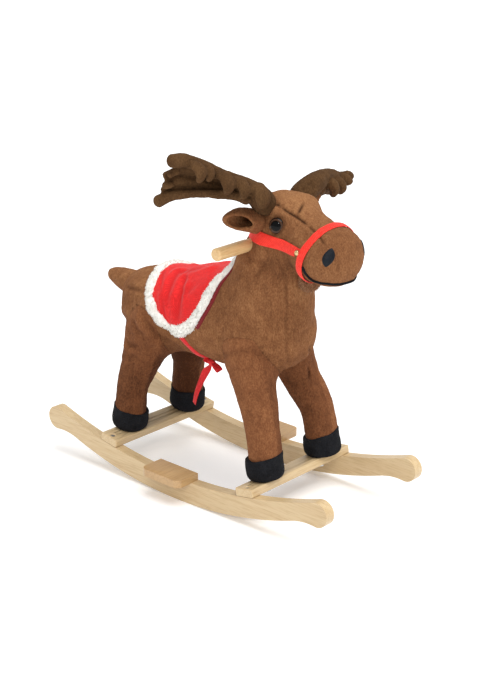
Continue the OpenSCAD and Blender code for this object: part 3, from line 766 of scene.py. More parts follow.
def make_skin():
    """Sews, stuffs and sculpts the whole plush skin, then cuts it into the body and four legs."""
    parts = skin_parts()
    trees = {k: tree_of(*v) for k, v in parts.items()}
    o = remeshed(joined("skin", list(parts.values()) + filler_parts()), SKIN_VOXEL)
    p = coords(o)
    d, _, seam = distances(trees, p)
    collar = np.maximum(d["neck"], d["head"])
    joint = np.minimum(np.minimum(collar, np.maximum(d["torso"], d["neck"])), seam)
    flank = (p[:, 2] < LEG_TOP) & (np.abs(p[:, 1]) < 92) & (p[:, 2] > 205)
    p = relaxed(o, 16, 0.12 + 0.88 * np.maximum(gauss(joint, 18.0), 0.7 * flank))
    pinned = (seam < 5) | (collar < 4) | ((np.abs(p[:, 1]) < 4) & (p[:, 2] < 300))
    for line, *_ in HEAD_SEAMS + BODY_SEAMS:
        pinned |= polyline_distance(p, line)[0] < 6
    swell(o, pinned, 4.0, 6.0, 0.02)
    subdivided(o, 2)
    p, n = coords(o), normals(o)
    d, legs, seam = distances(trees, p)
    depth = 0.8 * gauss(seam, 6.0) - 0.5 * gauss(seam - 14, 8.0)
    p = out_by(p, n, -depth)
    p, dark = sculpt(p, n, HEAD_SEAMS + BODY_SEAMS)
    p, shade = sculpt(p, n, FOLDS)
    eyes = [in_head((EYE_X, s * 41, EYE_Z)) for s in (-1, 1)]
    for e in eyes:
        r = lengths(p - e)
        p = out_by(p, n, 1.6 * gauss(r - 19.0, 5.0) - 3.0 * gauss(r, 12.0))
    p = out_by(p, n, 1.5 * field(p, 46.0, 1) + 0.55 * field(p, 11.0, 2) + 0.30 * field(p, 4.5, 3, 1))
    h = to_head(p)
    on_head = (d["head"] < HEAD_NEAR) & (h[:, 0] > -40)
    tone = 0.05 * field(p, 60.0, 4)
    # Painted highlight: the top of the head lighter, where the overhead light falls.
    tone += np.where(on_head, 0.15 * blob(h, (35, 0, 50), (0.8, 0.9, 1.0), 40.0) - 0.01, 0.0)
    tone += np.where(p[:, 1] > -33, 0.10, 0.0) * blob(p, (172, -5, 400), (1, 0.9, 0.8), 30.0)
    # Painted shade: the underside between the legs darker towards the bottom.
    tone -= 0.10 * np.clip((300 - p[:, 2]) / 90, 0, 1) * (np.abs(p[:, 1]) < 70)
    # Painted shade under the jaw, on the throat.
    tone -= 0.13 * blob(p, (175, -30, 455), (0.7, 0.8, 1.0), 34.0)
    # Painted shade on the rear legs, darker towards the bottom.
    tone -= 0.12 * np.clip((290 - p[:, 2]) / 70, 0, 1) * (p[:, 0] < -60)
    # Painted shade in the hollows of the skin.
    tone -= 0.10 * hollows(p, edges(o), n, 20, 3.0)
    # The seam attribute gathers painted shade: seam lines, fold valleys and a ring round each eye socket.
    eye_socket_shade = np.max([gauss(lengths(p - e) - 15.0, 6.0) for e in eyes], axis=0)
    keep = {"tone": tone, "seam": np.clip(dark + 0.8 * shade + 0.35 * eye_socket_shade, 0, 1)}
    faces = faces_of(o)
    is_leg = (legs < np.min([d[k] for k in ("torso", "neck", "head")], axis=0)) & (p[:, 2] < LEG_TOP)
    label = np.where(is_leg, np.argmin([d[k] for k in LEG_NODES], axis=0) + 1, 0)[faces]
    owner = np.array([(label == k).sum(axis=1) for k in range(5)]).argmax(axis=0)
    pieces = [("plush_body", "plush_brown", ["torso_plush", "neck_plush", "head_plush"])]
    pieces += [("plush_" + node, "plush_leg", [node]) for node in LEG_NODES]
    for i, (name, mat, nodes) in enumerate(pieces):
        settle(submesh(name, p, faces[owner == i], mat, keep), nodes)
    bpy.data.objects.remove(o)
    return p, faces, faces[(d["head"][faces] < HEAD_NEAR).all(axis=1)]


# ---- fibres ----
# The angles of a spike's three corners
THIRDS = (0.0, 2.094, 4.189)
SPIKE_FACES = [(2, 1, 0), (0, 1, 4), (0, 4, 3), (1, 2, 5), (1, 5, 4), (2, 0, 3), (2, 3, 5), (3, 4, 6),
               (4, 5, 6), (5, 3, 6)]


def tufts(pts, faces, count, length, width, mat, lean, weight, seed, sink=1.0):
    """Small pointed tufts over a surface; each one is a closed bent spike."""
    r = np.random.default_rng(seed)
    tri = np.asarray(faces)[:, :3]
    a, b, c = pts[tri[:, 0]], pts[tri[:, 1]], pts[tri[:, 2]]
    cross = np.cross(b - a, c - a)
    area = lengths(cross)
    chance = area * (1.0 if weight is None else weight[tri].mean(axis=1))
    pick = r.choice(len(tri), count, p=chance / chance.sum())
    u, v = r.random(count), r.random(count)
    flip = u + v > 1
    u[flip], v[flip] = 1 - u[flip], 1 - v[flip]
    at = a[pick] + u[:, None] * (b - a)[pick] + v[:, None] * (c - a)[pick]
    n, lean = unit(cross[pick]), np.array(lean)
    sway = unit(r.normal(size=(count, 3)))
    ahead = unit(n + 0.55 * sway + lean)
    size = length * r.uniform(0.6, 1.25, count)[:, None]
    side = unit(np.cross(ahead, sway))
    other = np.cross(ahead, side)
    w = width * r.uniform(0.7, 1.2, count)[:, None]
    base = at - n * sink
    mid = at + ahead * size * 0.55
    tip = mid + unit(ahead + lean + 0.5 * side) * size * 0.45
    spike = [c + wide * w * (math.cos(t) * side + math.sin(t) * other)
             for c, wide in ((base, 1.0), (mid, 0.6)) for t in THIRDS]
    f = (np.arange(count)[:, None, None] * 7 + np.array(SPIKE_FACES)).reshape(-1, 3)
    o = mesh_object("fluff", np.stack(spike + [tip], axis=1), f.tolist(), mat)
    attribute(o, "tone", np.repeat(r.uniform(-0.12, 0.1, count), 7))
    return o


# ---- tail, ears and antlers ----
def soft_object(name, shapes, voxel, mat, rough, seed, turns=4, press=2.0):
    """Joins shapes into one soft skin, swells it and paints shade into its creases."""
    o = remeshed(joined(name, shapes), voxel)
    p = relaxed(o, turns, 0.7)
    swell(o, field(p, 30.0, seed, 1) > 0.75, press, 3.0, 0.03, 12)
    subdivided(o)
    n = normals(o)
    p = roughened(o, 1.0, (rough[0], rough[1], seed), (rough[2], rough[3], seed + 1, 1))
    crease = hollows(p, edges(o), n, 16, 1.6)
    # Painted shade in the creases, darkening both tone and seam.
    attribute(o, "tone", 0.06 * field(p, 40.0, seed + 2) - 0.10 * np.minimum(crease, 0.5))
    attribute(o, "seam", 0.75 * np.clip(crease, 0, 1))
    o.data.materials.append(MATS[mat])
    return o


def make_tail():
    o = soft_object("plush_tail", [stuffed(TAIL, (8, 12))], 5.0, "plush_brown", (1.2, 24.0, 0.4, 5.0), 11)
    settle(o, ["tail"])


EAR_LONG = 113
# Along the ear: its radius, and the half angle that it covers
EAR_RADIUS = [0, 0.2, 0.42, 0.6, 0.76, 0.88, 0.96, 1.0], [15, 17.5, 18.5, 17.0, 13.5, 9.0, 4.5, 1.5]
EAR_SPREAD = [0, 0.42, 0.54, 0.68, 0.84, 1.0], [180, 179, 160, 136, 112, 90]


def ear_shape(s):
    """A leaf rolled into a tube at the head and open to the front further out; s is -1 on the right."""
    root, tip = np.array([112.0, s * 26, 505]), np.array([116.0, s * 136, 538])
    axis = unit(tip - root)
    opens = np.array([0.86, s * 0.1, -0.5])
    opens = unit(opens - axis * axis.dot(opens))
    side = np.cross(axis, opens) * s
    rows, cols = 30, 33
    u = np.linspace(-1, 1, cols)[:, None]
    pts = []
    for t in np.linspace(0, 1, rows):
        r = np.interp(t, *EAR_RADIUS)
        spread = np.radians(np.interp(t, *EAR_SPREAD))
        lip = 3.5 * np.abs(u) ** 6 * math.sin(math.pi * min(1.0, max(0.0, t - 0.3) * 1.6))
        reach = r * (1 + 0.07 * np.cos(3 * u * spread + 3 * t)) + lip
        c = root + axis * EAR_LONG * t + np.array([0, 0, 5 * math.sin(math.pi * t)])
        pts.append(c + reach * (-np.cos(u * spread) * opens * 0.85 + np.sin(u * spread) * side))
    faces = grid_faces(rows, cols, False)
    return np.concatenate(pts), [f[::-1] for f in faces] if s > 0 else faces


def make_ear(side, s):
    pts, faces = ear_shape(s)
    o = thickened(mesh_object("plush_ear_" + side, pts, faces), 5.6)
    remeshed(o, 3.0)
    relaxed(o, 5, 0.7)
    subdivided(o)
    p = roughened(o, 1.0, (0.9, 16.0, 21), (0.3, 5.0, 22, 1))
    at, n = on_surface(tree_of(pts, faces), p)
    inside = ((p - at) * n).sum(axis=1)
    lining = np.clip((1.0 if inside.mean() < 0 else -1.0) * inside / 2.0, 0, 1)
    # Painted light: the inner side of the ear (the lining) is made lighter against the shade in its hollow.
    attribute(o, "tone", 0.05 * field(p, 30.0, 23) + 0.08 * lining)
    o.data.materials.append(MATS["plush_brown"])
    settle(o, ["ear_" + side])


# Each antler: its upper and lower lobe, its tines, the ends between the lobes, and the palm's span
ANTLERS = {
    "right": (
        [[128, -44, 546, 18, 18], [131, -58, 557, 21, 21], [132, -76, 572, 19, 19],
         [126, -96, 588, 15, 15], [117, -118, 602, 11, 11], [108, -144, 617, 9, 9],
         [101, -172, 632, 9, 10], [96, -202, 643, 10, 12], [94, -226, 646, 9, 11]],
        [[126, -92, 568, 14, 13], [120, -114, 574, 10, 9], [104, -145, 578, 7, 7], [84, -178, 582, 7, 7],
         [70, -206, 583, 8, 9], [62, -226, 578, 8, 11]],
        [[[104, -190, 634, 9, 5], [117, -194, 636, 12, 6], [124, -192, 625, 12, 6],
         [119, -190, 614, 8, 5]], [[108, -170, 628, 6, 5], [119, -171, 630, 8, 6], [124, -170, 620, 8, 6],
         [120, -170, 612, 6, 5]], [[112, -146, 612, 10, 6], [130, -147, 614, 13, 7],
         [139, -145, 600, 14, 7], [134, -143, 588, 9, 5]], [[120, -118, 600, 8, 6],
         [140, -121, 602, 10, 7], [148, -119, 589, 11, 7], [144, -117, 578, 8, 6]],
         [[130, -90, 584, 12, 8], [152, -94, 588, 15, 9], [162, -91, 573, 16, 9], [158, -88, 560, 11, 7]]],
        [[[90, -210, 626, 5, 5], [83, -220, 622, 6, 6]], [[77, -210, 603, 5, 5], [71, -219, 602, 6, 6]]],
        (0.34, 0.94, 0.1, 0.9)),
    "left": (
        [[128, 40, 544, 18, 19], [131, 56, 552, 20, 20], [130, 76, 559, 19, 18], [124, 102, 562, 16, 15],
         [115, 130, 560, 14, 13], [106, 158, 554, 12, 12], [98, 184, 546, 11, 11], [91, 214, 538, 10, 12]],
        [[124, 96, 546, 13, 12], [112, 122, 538, 10, 10], [98, 148, 531, 8, 8], [88, 172, 524, 8, 8],
         [82, 190, 519, 8, 8]],
        [[[116, 112, 556, 8, 8], [132, 122, 552, 10, 10], [136, 128, 540, 9, 9], [130, 130, 530, 6, 6]],
         [[108, 144, 552, 8, 8], [122, 154, 548, 10, 9], [126, 160, 537, 9, 9], [120, 162, 528, 6, 6]],
         [[102, 170, 548, 7, 7], [114, 182, 548, 9, 9], [118, 190, 540, 8, 8]], [[96, 192, 545, 6, 6],
         [102, 204, 549, 8, 8], [104, 212, 544, 7, 7]]],
        [[[92, 178, 530, 5, 5], [86, 190, 528, 7, 7]]],
        (0.4, 0.92, 0.1, 0.9)),
}


WEB_THICK = 4.0


def web(high, low, span):
    """The pleated palm between two lobes, as a closed slab."""
    rows, cols = 36, 30
    a, b = smooth_rows(high, 12), smooth_rows(low, 12)
    s = np.linspace(0, 1, cols)[:, None]
    pts = []
    for t in np.linspace(0, 1, rows):
        u, v = (lobe[int(round((lo + (hi - lo) * t) * (len(lobe) - 1))), :3]
                for lobe, lo, hi in ((a, *span[:2]), (b, *span[2:])))
        pleat = (2.5 + 9.0 * t) * (np.abs(np.sin(math.pi * 2.5 * s)) - 0.5) - 15.0 * np.sin(math.pi * s)
        pts.append(u + (v - u) * s + pleat * [1, 0, 0])
    o = thickened(mesh_object("web", pts, grid_faces(rows, cols, False)), WEB_THICK)
    out = coords(o), faces_of(o).tolist()
    bpy.data.objects.remove(o)
    return out


def make_antler(side):
    high, low, tines, ends, span = ANTLERS[side]
    across = (1, 0, 0.2)
    shapes = [stuffed(high, (10, 9), across, 28, 4), stuffed(low, (8, 9), across, 24, 4)]
    shapes += [stuffed(rows, (4, 5), (0, 1, 0.1), 20, 4) for rows in tines + ends]
    shapes.append(web(high, low, span))
    o = soft_object("velour_antler_" + side, shapes, 2.3, "velour_antler", (0.8, 15.0, 0.3, 5.0),
                    31 if side == "right" else 37, turns=2, press=1.0)
    settle(o, ["antler_" + side])


# ---- hooves ----
UPPER_ARC_Z = 1022.0
HOOF_HIGH = 46.0
# The skin is inside the boot above this height, and the rim turns in at this station of HOOF
ANKLE_FROM, RIM = 20, 13
# The boot from the middle of its sole, out, up and over the rim: share of its radius, and height
HOOF = [(0.0, 0.0), (0.35, 0.0), (0.62, 0.0), (0.76, 0.6), (0.87, 2.6), (0.95, 6.2), (0.99, 11.0),
        (1.0, 17.0), (0.99, 25.0), (0.975, 32.0), (0.965, 38.0), (0.95, 41.0), (0.90, 42.5), (0.84, 41.5),
        (0.80, 37.0), (0.5, 34.0), (0.0, 33.0)]


def make_hoof(node, tilt, skin):
    """A felt boot with a rounded sole edge and a wavy turned-in top, as wide as the ankle needs."""
    mid, size = middle_of(node)
    up = unit(np.array([-mid[0], 0.0, UPPER_ARC_Z - mid[2]]))
    ahead = unit(np.cross([0, 1, 0], up))
    dx, dy = HOOF_SHIFT.get(node, (0.0, 0.0))
    foot = mid - up * (HOOF_HIGH / 2) + np.array([dx, dy * np.sign(mid[1]), 0.0])
    turn = np.linspace(0, 2 * math.pi, 64, endpoint=False)
    spokes = np.cos(turn)[:, None] * ahead + np.sin(turn)[:, None] * np.array([0, 1, 0])
    lift = HOOF_RISE[node] * (0.745 * np.cos(turn) + 0.667 * np.sin(turn))
    wave = lift + 1.2 * np.sin(2 * turn + tilt) + 0.6 * np.sin(5 * turn)
    pts = []
    for k, (r, z) in enumerate(HOOF):
        reach = r * size[1] / 2 * (1 + 0.012 * np.sin(3 * turn + k))
        ankle = np.array([z > ANKLE_FROM and shot(skin, foot + up * z, d, 48.0)[2] or 0.0 for d in spokes])
        for _ in range(3):
            ankle = np.maximum(ankle, 0.5 * ankle + 0.25 * (np.roll(ankle, 1) + np.roll(ankle, -1)))
        if z > ANKLE_FROM and k < RIM:
            reach = np.maximum(reach, ankle + 2.2)
        elif k in (RIM, RIM + 1):
            reach = np.where(ankle > 12, np.minimum(reach, ankle - 1.5), reach)
        height = z + wave * max(0.0, (z - 14) / 28)
        pts.append(foot + reach[:, None] * spokes + height[:, None] * up)
    o = mesh_object("felt_" + node, pts, grid_faces(len(HOOF), len(turn)), "felt_black")
    subdivided(recalc(o, 0.02))
    above = np.clip(((coords(o) - foot) @ up - 2.0) / 6.0, 0, 1)
    roughened(o, above, (0.8, 18.0, 41), (0.3, 5.0, 42, 1))
    settle(o, [node])


# ---- straps ----
def shell(name, top, low, mat, closed, strips=False):
    """A band between two grids of points; an open end is one face, or a strip of quads."""
    ring = np.concatenate([top, low[:, ::-1]], axis=1)
    rows, n = ring.shape[:2]
    faces, last = grid_faces(rows, n, True, closed), (rows - 1) * n
    if not closed and strips:
        for i, order in ((0, 1), (last, -1)):
            faces += [(i + j, i + n - 1 - j, i + n - 2 - j, i + j + 1)[::order] for j in range(n // 2 - 1)]
    elif not closed:
        faces += [tuple(range(n)), tuple(range(last + n - 1, last - 1, -1))]
    return recalc(mesh_object(name, ring, faces, mat))


def strap_mesh(name, grid, outward, thick, mat, closed):
    """A flat strap: grid[i][j] lies on the surface, j across the strap; outward is per point."""
    edge = np.ones((grid.shape[1], 1))
    edge[0] = edge[-1] = 0.45
    return subdivided(shell(name, grid + outward * thick * edge, grid - outward * 0.15, mat, closed, True))


def wound(tree, origin, axis, start, angles, width, cols=7, reach=260.0, lift=0.8, smooth=2, closed=False,
          stiff=0.55):
    """Where a strap of this width lies on the surface, wound round origin across axis."""
    axis = unit(np.array(axis, float))
    u = np.array(start, float)
    u = unit(u - axis * axis.dot(u))
    w = np.cross(axis, u)
    grid, out = [], []
    for a, wide in zip(angles, np.broadcast_to(width, len(angles))):
        d = math.cos(a) * u + math.sin(a) * w
        for j in range(cols):
            o = origin + axis * wide * (j / (cols - 1) - 0.5) + d * reach
            hit = shot(tree, o, -d, reach)[0]
            grid.append(origin + d * 40 if hit is None else hit)
            out.append(d)
    grid, out = (np.array(v).reshape(-1, cols, 3) for v in (grid, out))
    grid = smoothed(grid, smooth, closed)
    flat = grid.mean(axis=1, keepdims=True)
    grid = grid - stiff * ((grid - flat) * out).sum(-1, keepdims=True) * out
    return grid + out * lift, out


def strap(name, node, mat, thick, closed, laid):
    """A whole strap from the points and directions where it is laid."""
    o = strap_mesh(name, *laid, thick, mat, closed)
    settle(o, [node])


def make_bridle(tree, head_tree):
    hx, _, hz = HEAD_AXES
    lean, tilt, ends = (math.radians(v) for v in (21, 3, 151.5))
    angles = np.linspace(0, 2 * math.pi, 160, endpoint=False)
    laid = wound(head_tree, in_head((105, 0, -23)), math.cos(lean) * hx - math.sin(lean) * hz, hz,
                 angles, 15.5, closed=True, lift=2.0, reach=90.0)
    strap("webbing_noseband", "noseband", "webbing_red", 1.7, True, laid)
    angles = np.linspace(-ends, ends, 120)
    width = 17.0 + 5.0 * np.clip((ends - np.abs(angles)) / math.radians(16), 0, 1)
    laid = wound(tree, in_head((8, 0, -11)), math.cos(tilt) * hz + math.sin(tilt) * hx, -hx,
                 angles, width, lift=1.0, smooth=6, reach=150.0, stiff=0.15)
    strap("webbing_headstall", "headstall", "webbing_red", 1.7, False, laid)


def make_rivets(tree):
    hx, hy, hz = HEAD_AXES
    profile = [(0.0, 2.2), (1.3, 2.1), (1.9, 1.6), (2.2, 1.2), (3.2, 1.4), (4.2, 1.1), (4.6, 0.3),
               (4.4, -3.0), (0.0, -3.0)]
    parts = []
    for s in (-1, 1):
        at = shot(tree, in_head((98, s * 90, -13)), -s * hy, 90)[0] + s * hy * 4.6
        parts.append(lathe(at, s * hy, hx, hz, profile, 28))
    o = subdivided(recalc(joined("rivets", parts), 0.01))
    o.data.materials.append(MATS["rivet_brass"])
    settle(o, ["bridle_rivets"])


KNOT = np.array([-3.0, -38.0, 234.0])
TIE = [(-3, -39, 233), (-9, -40, 223), (-18, -41, 209), (-26, -42, 193), (-33, -43, 177), (-38, -44, 162),
       (-41, -45, 147)]


def make_girth(tree):
    angles = np.linspace(math.radians(-104), math.radians(104), 90)
    laid = wound(tree, np.array([-52.0, 0.0, 312.0]), (0.88, 0, 0.47), (0, 0, -1), angles, 13.0,
                 cols=5, lift=1.2)
    strap("ribbon_girth", "girth_strap", "ribbon_red", 1.4, False, laid)


def make_bow():
    """Two loops and a knot, close under the belly."""
    turn = np.linspace(0, 2 * math.pi, 40, endpoint=False)[:, None, None]
    spread = np.linspace(-1, 1, 5)[None, :, None]
    loops = []
    for sway, length in (((0.9, -0.2, -0.3), 27.0), ((-0.7, -0.1, 0.3), 15.0)):
        d = unit(np.array(sway))
        across = unit(np.cross(d, (0.2, -0.5, 1.0)))
        along = length * 0.5 * (1 - np.cos(turn))
        gape = 5.5 * np.sin(turn) * (0.4 + 0.6 * np.sin(turn / 2))
        wide = 2.5 + 3.5 * np.sin(turn / 2)
        g = KNOT + d * along + np.cross(across, d) * gape + across * wide * spread
        out = unit(np.cross(np.roll(g, -1, 0) - np.roll(g, 1, 0), across))
        loops.append(strap_mesh("loop", g, out, 1.2, "ribbon_red", True))
    pts, faces = stuffed([[-9, -38, 235, 4, 5], [-3, -38, 234, 6, 7], [3, -38, 233, 4, 5]], (2, 2), n=16, k=4)
    knot = mesh_object("knot", pts + 0.6 * field(pts, 4.0, 51)[:, None], faces, "ribbon_red")
    settle(join_objects("ribbon_bow", loops + [knot]), ["girth_bow"])


def make_tie():
    """The bow's hanging end, which turns as it falls."""
    line = smooth_rows([(*v, 0, 0) for v in TIE], 8)[:, :3]
    last = len(line) - 1
    turn = np.radians(np.interp(np.linspace(0, 1, last + 1), [0, 0.25, 0.5, 1.0], [70, 150, 190, 205]))
    grid, out = [], []
    for i, c in enumerate(line):
        d = unit(line[min(i + 1, last)] - line[max(i - 1, 0)])
        u = unit(np.cross(d, (0, 1, 0.1)))
        flat = math.cos(turn[i]) * u + math.sin(turn[i]) * np.cross(d, u)
        half = 6.8 * (0.45 + 0.55 * min(1.0, i / 10))
        grid.append([c + flat * half * (j / 2 - 1) for j in range(5)])
        out.append([np.cross(d, flat)] * 5)
    strap("ribbon_tail", "tie_ribbon", "ribbon_red", 1.1, False,
          (np.array(grid), np.array(out)))


def join_objects(name, parts):
    bpy.ops.object.select_all(action="DESELECT")
    for o in parts:
        o.select_set(True)
    bpy.context.view_layer.objects.active = parts[0]
    bpy.ops.object.join()
    o = bpy.context.view_layer.objects.active
    o.name = o.data.name = name
    return o


# ---- saddle ----
SADDLE = [
    [-172, 432], [-159, 384], [-143, 354], [-131, 333], [-107, 307], [-78, 290], [-42, 284],
    [-12, 299], [9, 322], [23, 350], [35, 384], [45, 412], [51, 432], [51, 450],
]
OUTLINE = smooth_rows(SADDLE, 10)


def outline_depth(x, z):
    """How far inside the saddle's side outline a point is, in millimetres; below 0 is outside."""
    xs, zs = OUTLINE.T
    inside = (z > np.interp(x, xs, zs)) & (xs[0] < x) & (x < xs[-1])
    return np.where(inside, 1, -1) * polyline_distance(np.stack([x, z], axis=1), OUTLINE)[0]


def resampled(line, step, closed):
    p = np.vstack([line, line[:1]]) if closed else line
    s = np.concatenate([[0], np.cumsum(lengths(np.diff(p, axis=0)))])
    n = max(int(round(s[-1] / step)), 4)
    t = np.linspace(0, s[-1], n, endpoint=not closed)
    return np.stack([np.interp(t, s, p[:, k]) for k in range(3)], axis=1)


def saddle_path(tree):
    """The saddle's outer edge as a closed loop on the skin: down the right side, up the left."""
    t = np.linspace(0, len(OUTLINE) - 1, 700)
    xs, zs = (np.interp(t, range(len(OUTLINE)), line) for line in OUTLINE.T)
    right, left = ([hit for x, z in zip(xs, zs)
                    if (hit := shot(tree, (x, s * 300.0, z), (0, -s, 0), 300.0)[0]) is not None]
                   for s in (-1, 1))
    return on_surface(tree, smoothed(resampled(np.vstack([right, left[::-1]]), 4.0, True), 6, True))


def edge_band(at, n, inset, half, thick, closed=True, cols=9, domed=True):
    """A band beside the loop at: inset inwards from it, half wide, thick above the skin."""
    ahead = np.roll(at, -1, 0) - np.roll(at, 1, 0)
    if not closed:
        ahead[0], ahead[-1] = at[1] - at[0], at[-1] - at[-2]
    inward = unit(np.cross(n, unit(ahead)))
    u = np.linspace(-1, 1, cols)
    h = np.sqrt(np.clip(1 - u**2, 0, 1)) if domed else np.where(np.abs(u) > 0.9, 0.4, 1.0)
    half, inset = (np.broadcast_to(v, len(at))[:, None] for v in (half, inset))
    base = at[:, None] + inward[:, None] * (inset + half * u)[..., None]
    return base + n[:, None] * (0.8 + thick * h)[:, None], base - n[:, None] * 1.2


# How high the cloth starts, how near it may come to the skin and how thick it is
CLOTH_LIFT, CLOTH_GAP, CLOTH_THICK = 4.2, 1.4, 1.6
TRIM_HALF, TRIM_HIGH = 12.2, 7.5
SADDLE_FOLDS = [
    ([(-6, -14, 392), (-50, -24, 390), (-92, -29, 381), (-84, -55, 367), (-76, -74, 345)], 3.6, 7.5),
    ([(0, -22, 392), (-34, -30, 388), (-60, -34, 382), (-53, -57, 366), (-50, -72, 348)], 3.4, 7.5),
    ([(12, -40, 384), (-20, -56, 370), (-46, -64, 358), (-43, -85, 324)], 2.6, 8.5),
    ([(-128, -31, 378), (-94, -66, 356), (-79, -81, 333), (-72, -86, 308)], 1.8, 4.5),
]


def make_saddle(tree, skin_pts, faces):
    """The cloth is the relaxed skin inside the outline, lifted off it and pleated."""
    deep = outline_depth(skin_pts[:, 0], skin_pts[:, 2])
    used, f = packed(faces[deep[faces].max(axis=1) > -30])
    o = mesh_object("saddle_base", skin_pts[used], f.tolist())
    p, n, f = relaxed(o, 30, 0.8), normals(o), faces_of(o)
    bpy.data.objects.remove(o)
    used, f = packed(f[(deep[used][f] > 6).all(axis=1)])
    p, n = p[used], n[used]
    p = p + n * CLOTH_LIFT
    both = SADDLE_FOLDS + [([(x, -y, z) for x, y, z in line], d, w) for line, d, w in SADDLE_FOLDS]
    for line, depth, width in both:
        d, run, total = polyline_distance(p, line)
        fade = np.clip(np.minimum(run + 4, total - run + 6) / 14.0, 0.0, 1.0)
        d = np.hypot(d, 3.0)
        ridge = 0.8 * gauss(d - 1.6 * width, width) - 0.4 * gauss(d, 0.8 * width)
        p = out_by(p, n, fade * depth * ridge)
    p = out_by(p, n, 0.8 * field(p, 34.0, 61) + 0.15 * field(p, 5.0, 62, 1))
    at, normal = on_surface(tree, p)
    gap = ((p - at) * normal).sum(axis=1)
    p = out_by(p, normal, np.maximum(0.0, CLOTH_GAP - gap))
    o = thickened(mesh_object("fleece_saddle", p, f.tolist(), "saddle_red"), CLOTH_THICK, -1.0)
    p = coords(o)
    crease = np.max([gauss(polyline_distance(p, line)[0], 0.8 * width) for line, _, width in both], axis=0)
    # Painted shade along the fold valleys.
    attribute(o, "tone", 0.06 * field(p, 50.0, 63) - 0.28 * crease)
    settle(o, ["saddle_cloth"])


def make_trim(tree):
    """White fur over the cloth's edge, and the strips of the cloth's underside that show in front of it, in a
    darker red that is painted shade.
    """
    at, n = saddle_path(tree)
    half = TRIM_HALF - 3.0 * np.clip((at[:, 0] + 30) / 40.0, 0, 1)
    o = subdivided(shell("fur", *edge_band(at, n, half, half, TRIM_HIGH), None, True), 2)
    nn = normals(o)
    p = roughened(o, 1.0, (1.7, 9.0, 71), (0.7, 3.5, 72, 1))
    attribute(o, "tone", 0.05 * field(p, 20.0, 73))
    o.data.materials.append(MATS["faux_fur_white"])
    away = (nn * on_surface(tree, p)[1]).sum(axis=1)
    fluff = tufts(p, faces_of(o), 6500, 2.8, 0.7, "faux_fur_white", (0, 0, -0.1),
                  np.clip(away + 0.35, 0.0, 1.0), 74)
    settle(join_objects("fur_saddle_trim", [o, fluff]), ["saddle_trim"])
    for side, s in SIDES:
        front = (s * at[:, 1] > -4) & (at[:, 0] > 0)
        o = shell("lining_" + side, *edge_band(at[front], n[front], -2.5, 4.5, 1.4, False, 5, False),
                  "lining_red", False)
        # Painted shade: the strips darker still, as the cloth's edge lies in shadow.
        attribute(o, "tone", -0.25)
        settle(subdivided(o))


# ---- face ----
EYE_RADIUS = 13.4
# The eye from its middle outwards and under its edge: share of its radius, and height
EYE = [(0.0, 6.2), (0.18, 6.1), (0.36, 5.8), (0.52, 5.2), (0.60, 4.8), (0.72, 4.0), (0.84, 2.9), (0.93, 1.9),
       (0.99, 0.8), (1.0, -5.0), (0.0, -6.0)]


def make_eye(side, s, tree):
    hx, hy, hz = HEAD_AXES
    hit, normal, _ = shot(tree, in_head((EYE_X, s * 90, EYE_Z)), -s * hy, 90)
    normal = unit(normal + s * hy + (1.1 * hx + 0.35 * hz if s < 0 else 0.3 * hx))
    u = unit(np.cross(normal, hz))
    pts, faces = lathe(hit + normal * (3.2 if s < 0 else 1.0), normal, u, np.cross(normal, u),
                       [(q * EYE_RADIUS, h) for q, h in EYE], 48)
    o = mesh_object("glass_eye_" + side, pts, faces, "gloss_eye")
    attribute(o, "ring", [0.66 < q < 0.9 for q, _ in EYE for _ in range(48)])
    settle(subdivided(recalc(o, 0.01)), ["eye_" + side])


def make_nostrils(tree):
    """Small raised patches in the shape of an almond."""
    hx, hy, hz = HEAD_AXES
    for side, s in SIDES:
        centre = middle_of("nostril_" + side)[0] - (6.0 * hx if s > 0 else 0.0)
        toward = unit((0.55 if s < 0 else 0.2) * hx + s * 0.84 * hy + 0.12 * hz)
        across = unit(np.cross((0, 0, 1), toward))
        up = np.cross(toward, across)
        lean = math.radians(14) * s
        top = []
        for q in np.linspace(0, 1, 15):
            for a in np.linspace(0, 2 * math.pi, 40, endpoint=False):
                v = q * math.sin(a)
                y = 15.0 * v
                x = 9.5 * q * math.cos(a) * math.sqrt(max(0.0, 1.05 - 0.75 * v * v)) + 0.12 * y
                x = x * math.cos(lean) - y * math.sin(lean) * 0.4
                hit, normal, _ = shot(tree, centre + across * x + up * y + toward * 60, -toward, 120)
                hit, normal = (centre, toward) if hit is None else (hit, normal)
                top.append(hit + normal * (0.4 + math.sqrt(max(0.0, 1 - q**4))))
        top = np.reshape(top, (15, 40, 3))
        low = top[::-1] - toward * np.array([2.0] + [2.5] * 14)[:, None, None]
        o = mesh_object("satin_nostril_" + side, [top, low], grid_faces(30, 40), "nostril")
        settle(recalc(o, 0.01), ["nostril_" + side])


MOUTH = [
    (109, -55, -36), (112, -52, -45), (115, -48, -52), (121, -44, -57), (131, -40, -60), (147, -33, -61),
    (156, -15, -62), (158, 0, -62),
]


def make_mouth(tree):
    """Black piping along the seam under the muzzle, from the noseband round the chin and back."""
    line = np.vstack([in_head(MOUTH), in_head([(x, -y, z) for x, y, z in MOUTH[-2::-1]])])
    at, n = on_surface(tree, smoothed(resampled(line, 2.0, False), 8, False))
    pts, faces = stuffed([(*v, 2.4, 2.4) for v in at + n * 0.8], (1.5, 1.5), (0, 0, 1), 10, 1)
    settle(mesh_object("felt_mouth", pts, faces, "felt_black"), ["mouth_piping"])


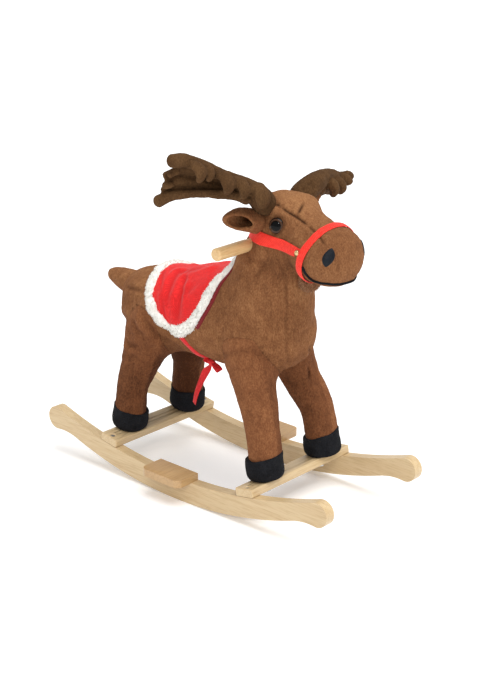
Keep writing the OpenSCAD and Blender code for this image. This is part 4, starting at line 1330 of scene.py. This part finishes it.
def make_beard():
    pts, faces = stuffed([[76, 0, -62, 9, 20], [64, 0, -76, 10, 20], [52, 0, -83, 7, 14]], (8, 6), n=24, k=6)
    pts = in_head(pts)
    sides = np.array([f for f in faces if len(f) == 4])
    core = mesh_object("core", pts + 0.8 * field(pts, 8.0, 81)[:, None], faces, "plush_beard")
    fluff = tufts(pts, np.vstack([sides[:, :3], sides[:, [0, 2, 3]]]), 2600, 6.5, 0.8, "plush_beard",
                  (-0.1, 0, -0.9), None, 82, 2.0)
    settle(join_objects("plush_beard", [core, fluff]), ["beard"])


# ---- wood and metal ----
WOOD = {
    "pine_board": ("rocker_right", "rocker_left"),
    "pine_cross": ("slat_front", "slat_rear"),
    "pine_foot": ("footrest_right", "footrest_left"),
    "beech_dowel": ("handle_bar", "footrest_dowels"),
    "inner_timber": ("leg_post_front_right", "leg_post_front_left", "leg_post_rear_right",
                     "leg_post_rear_left", "cross_block_front", "cross_block_rear", "spine_board", "neck_post"),
    "steel_zinc": ("slat_screws", "leg_bolts", "leg_washers", "spine_screws", "neck_screws", "handle_pins"),
}
EDGE_ROUND = 2.2
WELD_NEAR = 0.00001


def dress_frame():
    for mat, nodes in WOOD.items():
        for node in nodes:
            o = NODES[node]
            if not o.material_slots:
                o.data.materials.append(MATS[mat])
            for m in o.material_slots:
                m.material = MATS[mat]
            o.modifiers.new("weld", "WELD").merge_threshold = WELD_NEAR
            if mat.startswith("pine"):
                bevel = o.modifiers.new("bevel", "BEVEL")
                bevel.width, bevel.segments, bevel.limit_method = EDGE_ROUND * MM, 3, "ANGLE"
                bevel.angle_limit = math.radians(40)
                bevel.use_clamp_overlap = True


def main():
    make_camera()
    make_stage()
    pts, faces, muzzle = make_skin()
    tree, head_tree = tree_of(pts, faces.tolist()), tree_of(pts, muzzle.tolist())
    make_tail()
    for side, s in SIDES:
        make_ear(side, s)
        make_antler(side)
        make_eye(side, s, tree)
    for i, node in enumerate(("hoof_front_right", "hoof_front_left", "hoof_rear_right", "hoof_rear_left")):
        make_hoof(node, 0.6 + 1.9 * (i > 1), tree)
    make_trim(tree)
    make_saddle(tree, pts, faces)
    make_bridle(tree, head_tree)
    make_rivets(tree)
    make_girth(tree)
    make_bow()
    make_tie()
    make_nostrils(tree)
    make_mouth(tree)
    make_beard()
    dress_frame()


main()
